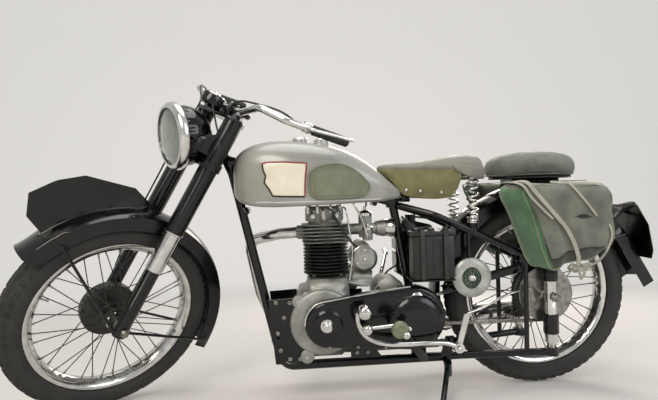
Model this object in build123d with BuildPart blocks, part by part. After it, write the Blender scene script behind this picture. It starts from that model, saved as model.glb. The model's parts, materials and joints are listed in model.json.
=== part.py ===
from build123d import *
from math import atan2, cos, degrees, radians, sin, sqrt
import os

# A vintage single-cylinder motorcycle with telescopic fork, plunger rear springing, sprung saddle,
# pillion pad and a pair of canvas panniers, leaning on its side stand with the fork on its left stop.
#
# The machine is drawn upright: +X forward, +Y left, +Z up, with X = 0 at the rear axle, Y = 0 on the centre
# plane and Z = 0 on the floor. The steered pieces are drawn in the fork's own frame: X forward and square to
# the fork legs, Z up along them, origin at the front wheel's centre. At the end everything is put into the
# parked posture, and moved so that the origin is below the middle of the whole machine.

# Wheels and wheelbase
wheel_radius = 325
wheelbase = 1450
tyre_height = 82
rim_flange_height = 13
rim_half_width = 29
rim_well_depth = 12
rim_wall = 3
spoke_radius = 1.6
spoke_count = 18
clearance = 0.3

# The tyre's outline from its tread to its rim: drop below the tread's top, and half width
tyre_outline = [(0, 12), (15, 33), (40, 43.8)]

# Steering
rake_angle = 30
fork_offset = 65
steering_lock = 38.5
stem_radius = 13
head_tube_radius = 25
lower_yoke_height = 575
lower_yoke_thickness = 26
upper_yoke_height = 735
upper_yoke_thickness = 12
head_gap = 0.5

# Fork legs, heights measured along them from the axle
leg_spacing = 97
slider_radius = 23
sleeve_radius = 27
shroud_radius = 30
slider_drop = 26
sleeve_start = 205
shroud_start = 336
axle_radius = 8.5
nut_thickness = 11
axle_end = 6

# Handlebar and headlamp
bar_radius = 11.2
grip_radius = 16
grip_length = 128
bar_height = 768
lamp_radius = 107
lamp_depth = 120
lamp_barrel_depth = 40
lamp_x = 105
lamp_z = 603

# Frame
tube_radius = 15
stay_radius = 12
cradle_half_width = 72
cradle_height = 128
cradle_end_x = 330
plunger_spacing = 118
plunger_bottom = 152
plunger_top = 412
plunger_radius = 20
upper_lug_thickness = 34
lower_lug_thickness = 24
seat_lug_x = 500
seat_lug_z = 650
seat_tube_foot_x = 408
down_tube_foot_x = 914
down_tube_foot_z = 192
front_cross_x = 905
front_cross_z = 222
bar_bore_radius = 4

# Engine
cylinder_x = 735
crank_x = 757
crank_z = 268
crankcase_radius = 105
crankcase_half_width = 74
barrel_base_z = 405
barrel_top_z = 520
barrel_radius = 54
barrel_fin_radius = 77
head_top_z = 598
rocker_box_top_z = 643
fin_thickness = 3.5
fin_pitch = 11.5
plate_thickness = 4

# Battery, oil tank and horn
horn_x = 268
horn_z = 395
horn_radius = 57
battery_base_z = 400
battery_top_z = 556
oil_tank_base_z = 390
tray_thickness = 4

# Transmission
clutch_x = 462
clutch_z = 275
chaincase_front_x = 741
chaincase_front_radius = 77
chaincase_rear_radius = 104.5
chaincase_inner_y = 82
chaincase_depth = 46
chain_y = 60
chain_width = 12
chain_height = 12
drive_sprocket_radius = 36
wheel_sprocket_radius = 92

# Mudguards
front_guard_gap = 41
front_guard_half_width = 60
rear_guard_gap = 49
rear_guard_half_width = 70
guard_valance = 42
guard_crown = 14
guard_sheet = 2

# Seats and luggage
saddle_half_width = 132
spring_x = 250
spring_y = 98
spring_radius = 20
spring_seat_z = 576
spring_core_radius = 13
spring_turns = 7
saddle_base_z = 742
pillion_base_z = 716
pillion_top_z = 808
plate_slope = radians(10)
bag_inner_y = 130.4
bag_depth = 130

# Side stand
lean_angle = 7
stand_pivot = (352, 108, 112)
stand_foot_x = 412
stand_foot_y = 240
stand_leg_radius = 9
stand_foot_radius = 20
stand_foot_thickness = 6
stand_barrel_radius = 13
stand_barrel_half = 11

rake = radians(rake_angle)
tyre_bead_radius = wheel_radius - tyre_height
rim_flange_radius = tyre_bead_radius + rim_flange_height
rim_well_radius = tyre_bead_radius - rim_well_depth
front_guard_radius = wheel_radius + front_guard_gap
rear_guard_radius = wheel_radius + rear_guard_gap
hub_centre = (0, 0, wheel_radius)
bore_radius = axle_radius + clearance


def rod(start, end, radius, mode=Mode.ADD):
    """A straight round bar from start to end."""
    axis = Vector(*end) - Vector(*start)
    with BuildSketch(Plane(origin=start, z_dir=axis)) as section:
        Circle(radius)
    extrude(section.sketch, amount=axis.length, mode=mode)


def bent_tube(points, bend_radius, radius, mode=Mode.ADD):
    """A round tube along straight runs joined by tangent bends."""
    with BuildLine() as path:
        FilletPolyline(*points, radius=bend_radius)
    with BuildSketch(Plane(origin=path.line @ 0, z_dir=path.line % 0)) as section:
        Circle(radius)
    sweep(section.sketch, path=path.line, mode=mode)


def slab(outline, y_from, y_to, mode=Mode.ADD):
    """A plate with a side-view outline of X and Z points, between two values of Y."""
    with BuildSketch(Plane.XZ.offset(-y_to)) as section:
        Polygon(*outline, align=None)
    extrude(section.sketch, amount=y_to - y_from, mode=mode)


def side_disc(x, z, radius, y_from, y_to, mode=Mode.ADD):
    """A disc seen round from the side."""
    with BuildSketch(Plane.XZ.offset(-y_to)) as section:
        with Locations((x, z)):
            Circle(radius)
    extrude(section.sketch, amount=y_to - y_from, mode=mode)


def side_hull(circles, y_from, y_to, mode=Mode.ADD):
    """A plate round a few side-view circles given as X, Z and radius."""
    with BuildSketch(Plane.XZ.offset(-y_to)) as section:
        for x, z, radius in circles:
            with Locations((x, z)):
                Circle(radius)
        make_hull()
    extrude(section.sketch, amount=y_to - y_from, mode=mode)


def spun(profile, centre=(0, 0, 0), mode=Mode.ADD):
    """A ring about a wheel's axle from points of distance from the axle and Y."""
    with BuildSketch(Plane(origin=centre, x_dir=(1, 0, 0), z_dir=(0, 0, 1))) as section:
        Polygon(*profile, align=None)
    revolve(section.sketch, axis=Axis(centre, (0, 1, 0)), mode=mode)


def turned(profile, plane, mode=Mode.ADD):
    """A turned piece from points of radius and height, about the Z axis of a plane."""
    side = Plane(origin=plane.origin, x_dir=plane.x_dir, z_dir=-plane.y_dir)
    with BuildSketch(side) as section:
        Polygon(*profile, align=None)
    revolve(section.sketch, axis=Axis(plane.origin, plane.z_dir), mode=mode)


def guard_section(centre, radius, half_width, angle):
    """A mudguard's domed and valanced section on the plane through the axle at an angle up from +X."""
    shoulder = radius - guard_crown
    under = shoulder - guard_sheet
    edge = shoulder - guard_valance
    inner = half_width - guard_sheet
    a = radians(angle)
    with BuildSketch(Plane(origin=centre, x_dir=(cos(a), 0, sin(a)), z_dir=(-sin(a), 0, cos(a)))) as section:
        with BuildLine():
            Polyline((edge, -inner), (edge, -half_width), (shoulder, -half_width))
            ThreePointArc((shoulder, -half_width), (radius, 0), (shoulder, half_width))
            Polyline((shoulder, half_width), (edge, half_width), (edge, inner), (under, inner))
            ThreePointArc((under, inner), (radius - guard_sheet, 0), (under, -inner))
            Line((under, -inner), (edge, -inner))
        make_face()
    return section.sketch


def dome_point(radius, height):
    """The middle of a spherical dome's arc: its distance from the axis and its height above the rim."""
    ball = (radius**2 + height**2) / (2 * height)
    half = atan2(radius, ball - height) / 2
    return ball * sin(half), height - ball * (1 - cos(half))


def on_wheel(centre, radius, angle, y):
    """A point at an angle up from +X about a wheel's centre."""
    a = radians(angle)
    return (centre[0] + radius * cos(a), y, centre[2] + radius * sin(a))


# The steering axis of the upright machine
axis_foot_x = wheelbase + (wheel_radius * sin(rake) - fork_offset) / cos(rake)
fork_plane = Plane(
    origin=(wheelbase, 0, wheel_radius),
    x_dir=(cos(rake), 0, sin(rake)),
    z_dir=(-sin(rake), 0, cos(rake)),
)
head_bottom = lower_yoke_height + lower_yoke_thickness / 2 + head_gap
head_top = upper_yoke_height - upper_yoke_thickness / 2 - head_gap


def on_steering_axis(height):
    """A point on the steering axis, at a height measured along it, in the upright machine's frame."""
    return tuple(fork_plane.from_local_coords(Vector(-fork_offset, 0, height)))


# Posture: where the parked machine and its steered fork are

def parked(pitch, lift):
    """The posture of the parked machine, leaning to its left."""
    return Location((0, 0, lift)) * Location((0, 0, 0), (-lean_angle, pitch, 0))


def steered():
    """From the fork's own frame to the upright machine's frame, with the fork on its left stop."""
    to_axis = Location((-fork_offset, 0, 0))
    turn = Location((0, 0, 0), (0, 0, steering_lock))
    return fork_plane.location * to_axis * turn * to_axis.inverse()


def lowest(location):
    """Height of the lowest point of a tyre."""
    plane = Plane(location)
    tilt = abs(plane.y_dir.Z)
    reach = [(wheel_radius - drop) * sqrt(1 - tilt**2) + width * tilt for drop, width in tyre_outline]
    return plane.origin.Z - max(reach)


pitch = 0.0
for step in range(8):
    front_low = lowest(parked(pitch, 0) * steered())
    rear_low = lowest(parked(pitch, 0) * Location(hub_centre))
    pitch += degrees((front_low - rear_low) / wheelbase)
lift = -lowest(parked(pitch, 0) * Location(hub_centre))
parked_location = parked(pitch, lift)
fork_location = parked_location * steered()
rear_wheel_location = parked_location * Location(hub_centre)


def parked_point(x, y, z):
    """A point of the upright machine's frame, in the parked posture."""
    return (parked_location * Location((x, y, z))).position


# The side stand turns about an axis square to its leg, both as it stands and folded back
stand_centre = parked_point(*stand_pivot)
stand_foot = parked_point(stand_foot_x, stand_foot_y, 0)
stand_foot = Vector(stand_foot.X, stand_foot.Y, stand_foot_thickness)
stand_folded = Vector(-1, 0.25, 0.02)
stand_axis = (stand_foot - stand_centre).cross(stand_folded).normalized()


def beside_stand(distance):
    """A point on the stand's axis in the upright machine's frame, at a distance outwards from its pivot."""
    return (parked_location.inverse() * Location(stand_centre + stand_axis * distance)).position


# Tyres, rims and hubs, drawn round the origin

def make_tyre():
    """A tyre whose beads sit between the rim's flanges."""
    bead_half_width = rim_half_width - rim_wall - 3
    half = [(wheel_radius - drop, width) for drop, width in tyre_outline]
    half += [(rim_flange_radius, bead_half_width), (tyre_bead_radius, bead_half_width)]
    with BuildPart() as tyre:
        spun(half + [(r, -y) for r, y in reversed(half)])
    return tyre.part


def make_rim():
    """A chromed well-base rim: bed, shoulders and rolled flanges."""
    seat = tyre_bead_radius - clearance
    flange_inner = rim_half_width - rim_wall - 2.7
    half = [
        (rim_well_radius, 9),
        (seat, 15),
        (seat, flange_inner),
        (rim_flange_radius, flange_inner),
        (rim_flange_radius, rim_half_width),
        (rim_flange_radius - 4, rim_half_width + 1),
        (seat - rim_wall, rim_half_width - 3),
        (seat - rim_wall - 2, 14),
        (rim_well_radius - rim_wall, 8),
    ]
    with BuildPart() as rim:
        spun(half + [(r, -y) for r, y in reversed(half)])
    return rim.part


def lace_spokes(flange_radius, flange_y):
    """Spokes from one hub flange to the rim, every other one leaning the other way."""
    reach = rim_well_radius - rim_wall - 2 * clearance
    for n in range(spoke_count):
        start = 360 * n / spoke_count + (10 if flange_y > 0 else 0)
        lean = 22 if n % 2 else -22
        a = radians(start)
        b = radians(start + lean)
        hub = ((flange_radius - 2) * cos(a), flange_y, (flange_radius - 2) * sin(a))
        nipple = (reach * cos(b), 6 if flange_y > 0 else -6, reach * sin(b))
        rod(hub, nipple, spoke_radius)


front_drum_edge = -62
front_hub_edge = 60
with BuildPart() as front_hub:
    spun([
        (bore_radius, front_drum_edge), (88, front_drum_edge), (88, -30), (30, -22), (24, -16), (24, 28),
        (40, 32), (40, 37), (20, 42), (20, front_hub_edge), (bore_radius, front_hub_edge),
    ])
    lace_spokes(88, -33)
    lace_spokes(40, 34.5)

rear_drum_edge = 84
rear_hub_edge = -62
with BuildPart() as rear_hub:
    spun([
        (bore_radius, rear_hub_edge), (20, rear_hub_edge), (20, -42), (40, -37), (40, -32), (24, -28), (24, 14),
        (76, 22), (92, 24), (92, 28), (88, 30), (88, 56), (wheel_sprocket_radius - 6, 57),
        (wheel_sprocket_radius - 0.5, 58), (wheel_sprocket_radius - 0.5, 62), (88, 64), (88, rear_drum_edge),
        (bore_radius, rear_drum_edge),
    ])
    lace_spokes(92, 26)
    lace_spokes(40, -34.5)

front_tyre = make_tyre()
rear_tyre = make_tyre()
front_rim = make_rim()
rear_rim = make_rim()

# Front fork, in the fork's frame

lamp_plane = Plane(origin=(lamp_x, 0, lamp_z), x_dir=(0, 1, 0), z_dir=(cos(rake), 0, -sin(rake)))
lamp_bowl_rise = lamp_depth - lamp_barrel_depth
lamp_ball_radius = ((lamp_radius - 12) ** 2 + lamp_bowl_rise**2) / (2 * lamp_bowl_rise)
with BuildPart() as fork_yokes:
    for height, thickness, eye in (
        (lower_yoke_height, lower_yoke_thickness, 35),
        (upper_yoke_height, upper_yoke_thickness, 32),
    ):
        with BuildSketch(Plane.XY.offset(height - thickness / 2)):
            with Locations((-fork_offset, 0)):
                Circle(head_tube_radius + 6)
            with Locations((0, leg_spacing), (0, -leg_spacing)):
                Circle(eye)
            make_hull()
        extrude(amount=thickness)
    with Locations(lamp_plane.from_local_coords(Vector(0, 0, lamp_ball_radius - lamp_depth))):
        Sphere(lamp_ball_radius + 1, mode=Mode.SUBTRACT)
    rod((-fork_offset, 0, lower_yoke_height), (-fork_offset, 0, upper_yoke_height + 40), stem_radius)
    turned(
        [(0, 32), (30, 32), (34, 38), (34, 46), (26, 54), (0, 56)],
        Plane(origin=(-fork_offset, 0, upper_yoke_height)),
    )
    for side in (-1, 1):
        rod((0, side * leg_spacing, upper_yoke_height), (0, side * leg_spacing, upper_yoke_height + 20), 17)
        with Locations((-5, side * 45, upper_yoke_height + 26)):
            Box(34, 26, 48)
    rod((-5, -80, bar_height), (-5, 80, bar_height), bar_radius + clearance, mode=Mode.SUBTRACT)
    with Locations((42, 0, upper_yoke_height + 8)):
        Box(40, 24, 12)
    turned([(0, 10), (34, 10), (38, 16), (38, 44), (0, 48)], Plane(origin=(48, 0, upper_yoke_height)))

with BuildPart() as fork_shrouds:
    ear_z = lamp_z + 20
    for side in (-1, 1):
        y = side * leg_spacing
        lower_top = lower_yoke_height - lower_yoke_thickness / 2 - clearance
        upper_bottom = lower_yoke_height + lower_yoke_thickness / 2 + clearance
        rod((0, y, shroud_start + clearance), (0, y, lower_top), shroud_radius)
        rod((0, y, upper_bottom), (0, y, upper_yoke_height - upper_yoke_thickness / 2 - clearance), shroud_radius)
        slab(
            [(0, 600), (0, 690), (60, 655), (84, 636), (84, 612), (60, 600)],
            min(side * 101, side * 106),
            max(side * 101, side * 106),
        )
        rod((70, side * 95.5, ear_z), (70, side * 110, ear_z), 9)

with BuildPart() as fork_sleeves:
    for side in (-1, 1):
        y = side * leg_spacing
        rod((0, y, sleeve_start + clearance), (0, y, shroud_start), sleeve_radius)
    chamfer(fork_sleeves.edges().filter_by(GeomType.CIRCLE), 2)

with BuildPart() as fork_sliders:
    for side in (-1, 1):
        y = side * leg_spacing
        rod((0, y, -slider_drop), (0, y, sleeve_start), slider_radius)
    fillet(fork_sliders.edges().filter_by(GeomType.CIRCLE).group_by(Axis.Z)[0], 8)
    rod((0, -150, 0), (0, 150, 0), bore_radius, mode=Mode.SUBTRACT)

with BuildPart() as front_axle:
    inner_face = leg_spacing - slider_radius - clearance
    outer_face = leg_spacing + slider_radius + clearance
    axle_reach = outer_face + nut_thickness + axle_end
    rod((0, -axle_reach, 0), (0, axle_reach, 0), axle_radius)
    rod((0, front_hub_edge + clearance, 0), (0, inner_face, 0), 15)
    rod((0, -inner_face, 0), (0, front_drum_edge - clearance, 0), 18)
    rod((0, front_drum_edge - clearance - 4, 0), (0, front_drum_edge - clearance, 0), 86)
    for side in (-1, 1):
        with BuildSketch(Plane(origin=(0, side * outer_face, 0), z_dir=(0, side, 0))) as nut:
            RegularPolygon(14, 6)
        extrude(nut.sketch, amount=nut_thickness)

with BuildPart() as headlamp_shell:
    with BuildSketch(Plane(origin=lamp_plane.origin, x_dir=lamp_plane.x_dir, z_dir=-lamp_plane.y_dir)) as section:
        with BuildLine():
            Line((0, -lamp_depth), (0, -12))
            Line((0, -12), (lamp_radius - 12, -12))
            Line((lamp_radius - 12, -12), (lamp_radius - 12, -lamp_barrel_depth))
            bowl_radius, bowl_rise = dome_point(lamp_radius - 12, lamp_depth - lamp_barrel_depth)
            ThreePointArc(
                (lamp_radius - 12, -lamp_barrel_depth), (bowl_radius, -lamp_barrel_depth - bowl_rise), (0, -lamp_depth)
            )
        make_face()
    revolve(section.sketch, axis=Axis(lamp_plane.origin, lamp_plane.z_dir))

with BuildPart() as headlamp_rim:
    turned(
        [(lamp_radius - 18, -11.7), (lamp_radius - 4, -11.7), (lamp_radius, -4), (lamp_radius - 1, 8),
         (lamp_radius - 9, 17), (lamp_radius - 18, 18)],
        lamp_plane,
    )

with BuildPart() as headlamp_lens:
    lens_radius = lamp_radius - 18 - clearance
    with BuildSketch(Plane(origin=lamp_plane.origin, x_dir=lamp_plane.x_dir, z_dir=-lamp_plane.y_dir)) as section:
        with BuildLine():
            Polyline((0, 26), (0, 2), (lens_radius, 2), (lens_radius, 12))
            crown_radius, crown_rise = dome_point(lens_radius, 14)
            ThreePointArc((lens_radius, 12), (crown_radius, 12 + crown_rise), (0, 26))
        make_face()
    revolve(section.sketch, axis=Axis(lamp_plane.origin, lamp_plane.z_dir))

# Handlebar: centre, rise, forward corner and hand end of its left half
bar_half = [(-5, 100, bar_height), (12, 212, 798), (-42, 290, 798), (-250, 332, 842)]
bar_points = [(x, -y, z) for x, y, z in reversed(bar_half)] + bar_half
grip_end = Vector(*bar_half[-1])
grip_direction = (grip_end - Vector(*bar_half[-2])).normalized()
grip_start = grip_end - grip_direction * grip_length

with BuildPart() as handlebar:
    bent_tube(bar_points, 40, bar_radius)
    perch = grip_start - grip_direction * 22
    tip = grip_end + Vector(34, 62, 4)
    for side in (-1, 1):
        rod(
            (perch.X + 10, side * (perch.Y - 2), perch.Z),
            (perch.X - 10, side * (perch.Y + 2), perch.Z + 2),
            bar_radius + 5,
        )
        bent_tube(
            [
                (perch.X, side * perch.Y, perch.Z),
                (perch.X + 12, side * (perch.Y + 40), perch.Z - 2),
                (tip.X, side * tip.Y, tip.Z),
            ],
            14,
            5,
        )
    rod(grip_start, grip_end, bar_radius + 8, mode=Mode.SUBTRACT)
    rod(
        (grip_start.X, -grip_start.Y, grip_start.Z),
        (grip_end.X, -grip_end.Y, grip_end.Z),
        bar_radius + 8,
        mode=Mode.SUBTRACT,
    )

with BuildPart() as handlebar_grips:
    for side in (-1, 1):
        start = grip_start + grip_direction * clearance
        rod((start.X, side * start.Y, start.Z), (grip_end.X, side * grip_end.Y, grip_end.Z), grip_radius)
    fillet(handlebar_grips.edges().filter_by(GeomType.CIRCLE), 3)

front_wheel_centre = (0, 0, 0)
front_guard_start = 56 - rake_angle
front_guard_end = 214 - rake_angle
with BuildPart() as front_mudguard:
    revolve(
        guard_section(front_wheel_centre, front_guard_radius, front_guard_half_width, front_guard_start),
        axis=Axis((0, 0, 0), (0, -1, 0)),
        revolution_arc=front_guard_end - front_guard_start,
    )
    with BuildSketch(Plane.XZ.offset(-1.5)) as plate:
        Circle(front_guard_radius + 118)
        Circle(front_guard_radius - 1, mode=Mode.SUBTRACT)
        # Corners of the blade: angle up from the fork's X, and distance past the mudguard
        corners = [(31, 62), (36, 116), (45, 119), (54, 111), (72, 62), (80, 20), (80, -60)]
        rim = [(a, front_guard_radius + past) for a, past in corners]
        outline = [(r * cos(radians(a)), r * sin(radians(a))) for a, r in rim]
        Polygon((0, 0), *outline, align=None, mode=Mode.INTERSECT)
    extrude(plate.sketch, amount=3)
    for side in (-1, 1):
        edge_y = side * (front_guard_half_width - 1)
        leg_face = side * (leg_spacing - sleeve_radius - clearance)
        rod((0, edge_y, 322), (0, leg_face, 322), 9)
        for angle, foot in ((front_guard_start + 9, 27.5), (front_guard_end - 5, -27.5)):
            end = on_wheel(front_wheel_centre, front_guard_radius - guard_crown - 22, angle, side * 61)
            rod((foot, side * leg_spacing, -8), end, 4.5)

# Front frame: head, top tube, down tube, cradle, seat tube and engine plates

seat_lug = (seat_lug_x, 0, seat_lug_z)
plate_inner_y = crankcase_half_width + clearance
with BuildPart() as frame_front:
    rod(on_steering_axis(head_bottom), on_steering_axis(head_top), head_tube_radius)
    rod(on_steering_axis(head_bottom + 20), seat_lug, tube_radius)
    bent_tube(
        [
            on_steering_axis(head_bottom + 48),
            tuple(Vector(*on_steering_axis(head_bottom + 48)) - Vector(33.4, 0, 80.7)),
            (down_tube_foot_x, 0, down_tube_foot_z),
        ],
        60,
        tube_radius,
    )
    rod(seat_lug, (seat_tube_foot_x, 0, cradle_height), tube_radius)
    rod((seat_lug_x, 0, seat_lug_z - 18), (seat_lug_x, 0, seat_lug_z + 14), 22)
    slab([(440, 649.5), (486, 649.5), (486, 662), (460, 667.7), (440, 667.7)], -14, 14)
    for side in (-1, 1):
        bent_tube(
            [
                (down_tube_foot_x + 2, side * 8, down_tube_foot_z + 8),
                (886, side * cradle_half_width, cradle_height),
                (cradle_end_x, side * cradle_half_width, cradle_height),
            ],
            45,
            tube_radius,
        )
        y_plate = sorted(side * v for v in (plate_inner_y, plate_inner_y + plate_thickness))
        slab([(838, 350), (934, 346), (925, 240), (915, 135), (828, 135), (806, 175)], *y_plate)
        slab([(668, 340), (668, 135), (560, 135), (600, 190), (604, 340)], *y_plate)
        with Locations((446, side * cradle_half_width, 154)):
            Box(34, 14, 34)
    for x, z in ((front_cross_x, front_cross_z), (870, 158), (seat_tube_foot_x, cradle_height)):
        rod((x, -plate_inner_y - 2, z), (x, plate_inner_y + 2, z), 9)
    rod((446, -150, 158), (446, 150, 158), 9 + clearance, mode=Mode.SUBTRACT)
    rod((front_cross_x, -90, front_cross_z), (front_cross_x, 90, front_cross_z), bar_bore_radius, mode=Mode.SUBTRACT)
    rod(on_steering_axis(head_bottom - 5), on_steering_axis(head_top + 5), stem_radius + clearance, mode=Mode.SUBTRACT)
    # Rests for the tank, trays for battery and oil tank, lugs for brake pedal and stand
    rod((1001, -44, 636), (1001, 44, 636), 13.7)
    rod((566, -34, 647.5), (566, 34, 647.5), 8)
    for side, height in ((1, battery_base_z), (-1, oil_tank_base_z)):
        floor = height - tray_thickness - clearance
        top = height - clearance
        y_tray = sorted((side * 78, side * 150))
        slab([(330, floor), (470, floor), (470, top), (330, top)], *y_tray)
        y_arm = sorted((0, side * 100))
        slab([(440, floor), (468, floor), (468, top), (440, top)], *y_arm)
    slab([(335, 124), (372, 124), (350, 200), (322, 200)], 84, 90)
    rod((335, 86, 187), (335, 176, 187), 8)
    rod(beside_stand(-44), beside_stand(-stand_barrel_half - clearance), stand_barrel_radius)
    rod((350, cradle_half_width, cradle_height - 8), beside_stand(-36), 8)

# Rear frame: stays, plunger lugs, struts, spring seats and the horn's bracket

upper_lug_top = plunger_top + clearance + upper_lug_thickness
with BuildPart() as frame_rear:
    for side in (-1, 1):
        y = side * plunger_spacing
        bent_tube(
            [(477, side * 24, 636), (380, side * 88, 606), (0, y, plunger_top + clearance + stay_radius)],
            50,
            stay_radius,
        )
        lower_lug_z = plunger_bottom - clearance - lower_lug_thickness / 2
        rod((cradle_end_x - 2.1, side * cradle_half_width, cradle_height), (0, y, lower_lug_z), stay_radius)
        rod((0, y, plunger_top + clearance), (0, y, upper_lug_top), 22)
        rod((0, y, lower_lug_z - lower_lug_thickness / 2), (0, y, lower_lug_z + lower_lug_thickness / 2), 22)
        rod((80, side * 112, 455), (80, side * 107, 138), 8)
        rod((spring_x, side * spring_y, 545), (spring_x, side * spring_y, spring_seat_z - clearance), 12)
    rod((477, -24, 636), (477, 24, 636), stay_radius)
    rod((314, -75, 130), (314, 75, 130), stay_radius)
    rod((horn_x, spring_y, 552), (horn_x, spring_y, horn_z + horn_radius + clearance), 7)
    rod(seat_lug, (seat_lug_x, 0, seat_lug_z - 60), 22 + clearance, mode=Mode.SUBTRACT)
    rod(seat_lug, (seat_tube_foot_x, 0, cradle_height), tube_radius + clearance, mode=Mode.SUBTRACT)

with BuildPart() as plungers:
    for side in (-1, 1):
        turned(
            [
                (0, plunger_bottom), (15, plunger_bottom), (15, 170), (plunger_radius + 1, 172),
                (plunger_radius + 1, 262), (plunger_radius - 1, 264), (plunger_radius - 1, 364),
                (plunger_radius, 366), (plunger_radius, plunger_top), (0, plunger_top),
            ],
            Plane(origin=(0, side * plunger_spacing, 0)),
        )
    rod((0, -160, wheel_radius), (0, 160, wheel_radius), bore_radius, mode=Mode.SUBTRACT)

with BuildPart() as rear_axle:
    inner_face = plunger_spacing - plunger_radius - clearance
    outer_face = plunger_spacing + plunger_radius + clearance
    plate_y = rear_drum_edge + clearance
    axle_reach = outer_face + nut_thickness + axle_end
    rod((0, -axle_reach, wheel_radius), (0, axle_reach, wheel_radius), axle_radius)
    rod((0, plate_y, wheel_radius), (0, plate_y + 5, wheel_radius), 93)
    rod((0, plate_y, wheel_radius), (0, inner_face, wheel_radius), 15)
    rod((0, -inner_face, wheel_radius), (0, rear_hub_edge - clearance, wheel_radius), 15)
    side_hull([(44, 300, 9), (50, 346, 8)], plate_y + 4, plate_y + 10)
    for side in (-1, 1):
        with BuildSketch(Plane(origin=(0, side * outer_face, wheel_radius), z_dir=(0, side, 0))) as nut:
            RegularPolygon(15, 6)
        extrude(nut.sketch, amount=nut_thickness)

# Engine

with BuildPart() as crankcase:
    side_disc(crank_x, crank_z, crankcase_radius, -crankcase_half_width, crankcase_half_width)
    slab(
        [(662, 300), (666, 372), (672, barrel_base_z - clearance), (798, barrel_base_z - clearance),
         (804, 376), (828, 370), (846, 318)],
        -64,
        64,
    )
    slab([(672, 168), (842, 168), (820, 145), (694, 145)], -48, 48)
    side_disc(crank_x, crank_z, 42, crankcase_half_width, chaincase_inner_y - clearance)
    chest_inner = -crankcase_half_width - plate_thickness - 2 * clearance
    side_hull(
        [(crank_x, crank_z - 10, 62), (crank_x + 6, crank_z + 60, 34), (625, 398, 34)],
        chest_inner - 30,
        chest_inner,
    )
    side_disc(crank_x, crank_z, 44, chest_inner, -crankcase_half_width)
    slab([(585, 398), (700, 398), (700, 380), (600, 372)], -60, 60)
    slab([(585, 398), (652, 398), (652, 424.5), (585, 424.5)], -52, 52)

push_rods = [((x, -barrel_fin_radius - 8, barrel_base_z), (x, -48, head_top_z - 4)) for x in (714, 756)]
push_rod_radius = 7
with BuildPart() as cylinder:
    with Locations((cylinder_x, 0, (barrel_base_z + barrel_top_z) / 2)):
        Cylinder(barrel_radius, barrel_top_z - barrel_base_z)
    with Locations((cylinder_x, 0, barrel_base_z + 4)):
        Box(120, 120, 8)
    fin_z = barrel_base_z + 16
    while fin_z < barrel_top_z - fin_thickness:
        with Locations((cylinder_x, 0, fin_z)):
            Cylinder(barrel_fin_radius, fin_thickness)
        fin_z += fin_pitch
    for foot, head in push_rods:
        rod(foot, head, push_rod_radius + clearance, mode=Mode.SUBTRACT)

port_root = (cylinder_x + 40, 0, 560)
port_end = (cylinder_x + 92, -20, 556)
port_direction = (Vector(*port_end) - Vector(*port_root)).normalized()
with BuildPart() as cylinder_head:
    head_bottom_z = barrel_top_z + clearance
    with Locations((cylinder_x, 0, (head_bottom_z + head_top_z) / 2)):
        Cylinder(barrel_radius + 4, head_top_z - head_bottom_z)
    fin_z = head_bottom_z + 4
    while fin_z < head_top_z - 8:
        with BuildSketch(Plane.XY.offset(fin_z)) as fin:
            with Locations((cylinder_x, 0)):
                RectangleRounded(158, 150, 34)
        extrude(fin.sketch, amount=fin_thickness)
        fin_z += fin_pitch
    with BuildSketch(Plane.XY.offset(head_top_z - 2)) as box:
        with Locations((cylinder_x + 2, -6)):
            RectangleRounded(128, 92, 26)
    extrude(box.sketch, amount=rocker_box_top_z - head_top_z + 2)
    fillet(cylinder_head.faces().sort_by(Axis.Z)[-1].edges(), 10)
    rod(port_root, port_end, 24)
    rod((cylinder_x - 40, 0, 562), (cylinder_x - 88, 0, 562), 20)
    for foot, head in push_rods:
        rod(foot, head, push_rod_radius)

with BuildPart() as magdyno:
    mag_x = 612
    mag_z = 467
    side_disc(mag_x, mag_z, 42, -62, 66)
    side_disc(mag_x, mag_z, 36, 66, 74)
    fillet(magdyno.faces().sort_by(Axis.Y)[-1].edges(), 4)
    side_disc(mag_x + 2, mag_z + 28, 27, -54, 40)

with BuildPart() as carburettor:
    inlet_end = cylinder_x - 88 - clearance
    rod((inlet_end, 0, 562), (560, 0, 562), 19)
    rod((596, 0, 534), (596, 0, 616), 23)
    turned([(17, 0), (24, 0), (30, 30), (26, 30)], Plane(origin=(561, 0, 562), x_dir=(0, 0, 1), z_dir=(-1, 0, 0)))
    rod((596, 0, 548), (596, 44, 548), 9)
    rod((596, 46, 528), (596, 46, 570), 17)

exhaust_points = [
    tuple(Vector(*port_end) + port_direction * clearance),
    tuple(Vector(*port_end) + port_direction * 70),
    (1002, -92, 528), (968, -126, 330), (908, -131, 192), (560, -133, 189), (455, -133, 189), (396, -152, 189),
]
exhaust_bends = [40, 44, 120, 60, 60, 40]
with BuildPart() as exhaust:
    bent_tube(exhaust_points, exhaust_bends, 20)
    turned(
        [(0, 0), (22, 0), (43, 40), (43, 420), (24, 470), (18, 560), (0, 560)],
        Plane(origin=(402, -151, 189), x_dir=(0, 1, 0), z_dir=(-1, -0.095, 0.03)),
    )
    rod((330, -124, 172), (330, -94, 136), 7)

# Transmission

with BuildPart() as gearbox:
    side_hull([(520, 250, 52), (525, 345, 52), (492, 298, 34)], -62, 48)
    side_hull([(520, 262, 44), (525, 338, 40)], -86, -62)
    side_disc(clutch_x, clutch_z, 16, 44, chaincase_inner_y - clearance)
    side_disc(clutch_x, clutch_z, drive_sprocket_radius - chain_height / 2 - 0.5, chain_y - 3, chain_y + 3)
    slab([(500, 180), (560, 180), (560, 220), (500, 220)], -50, 40)

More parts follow.
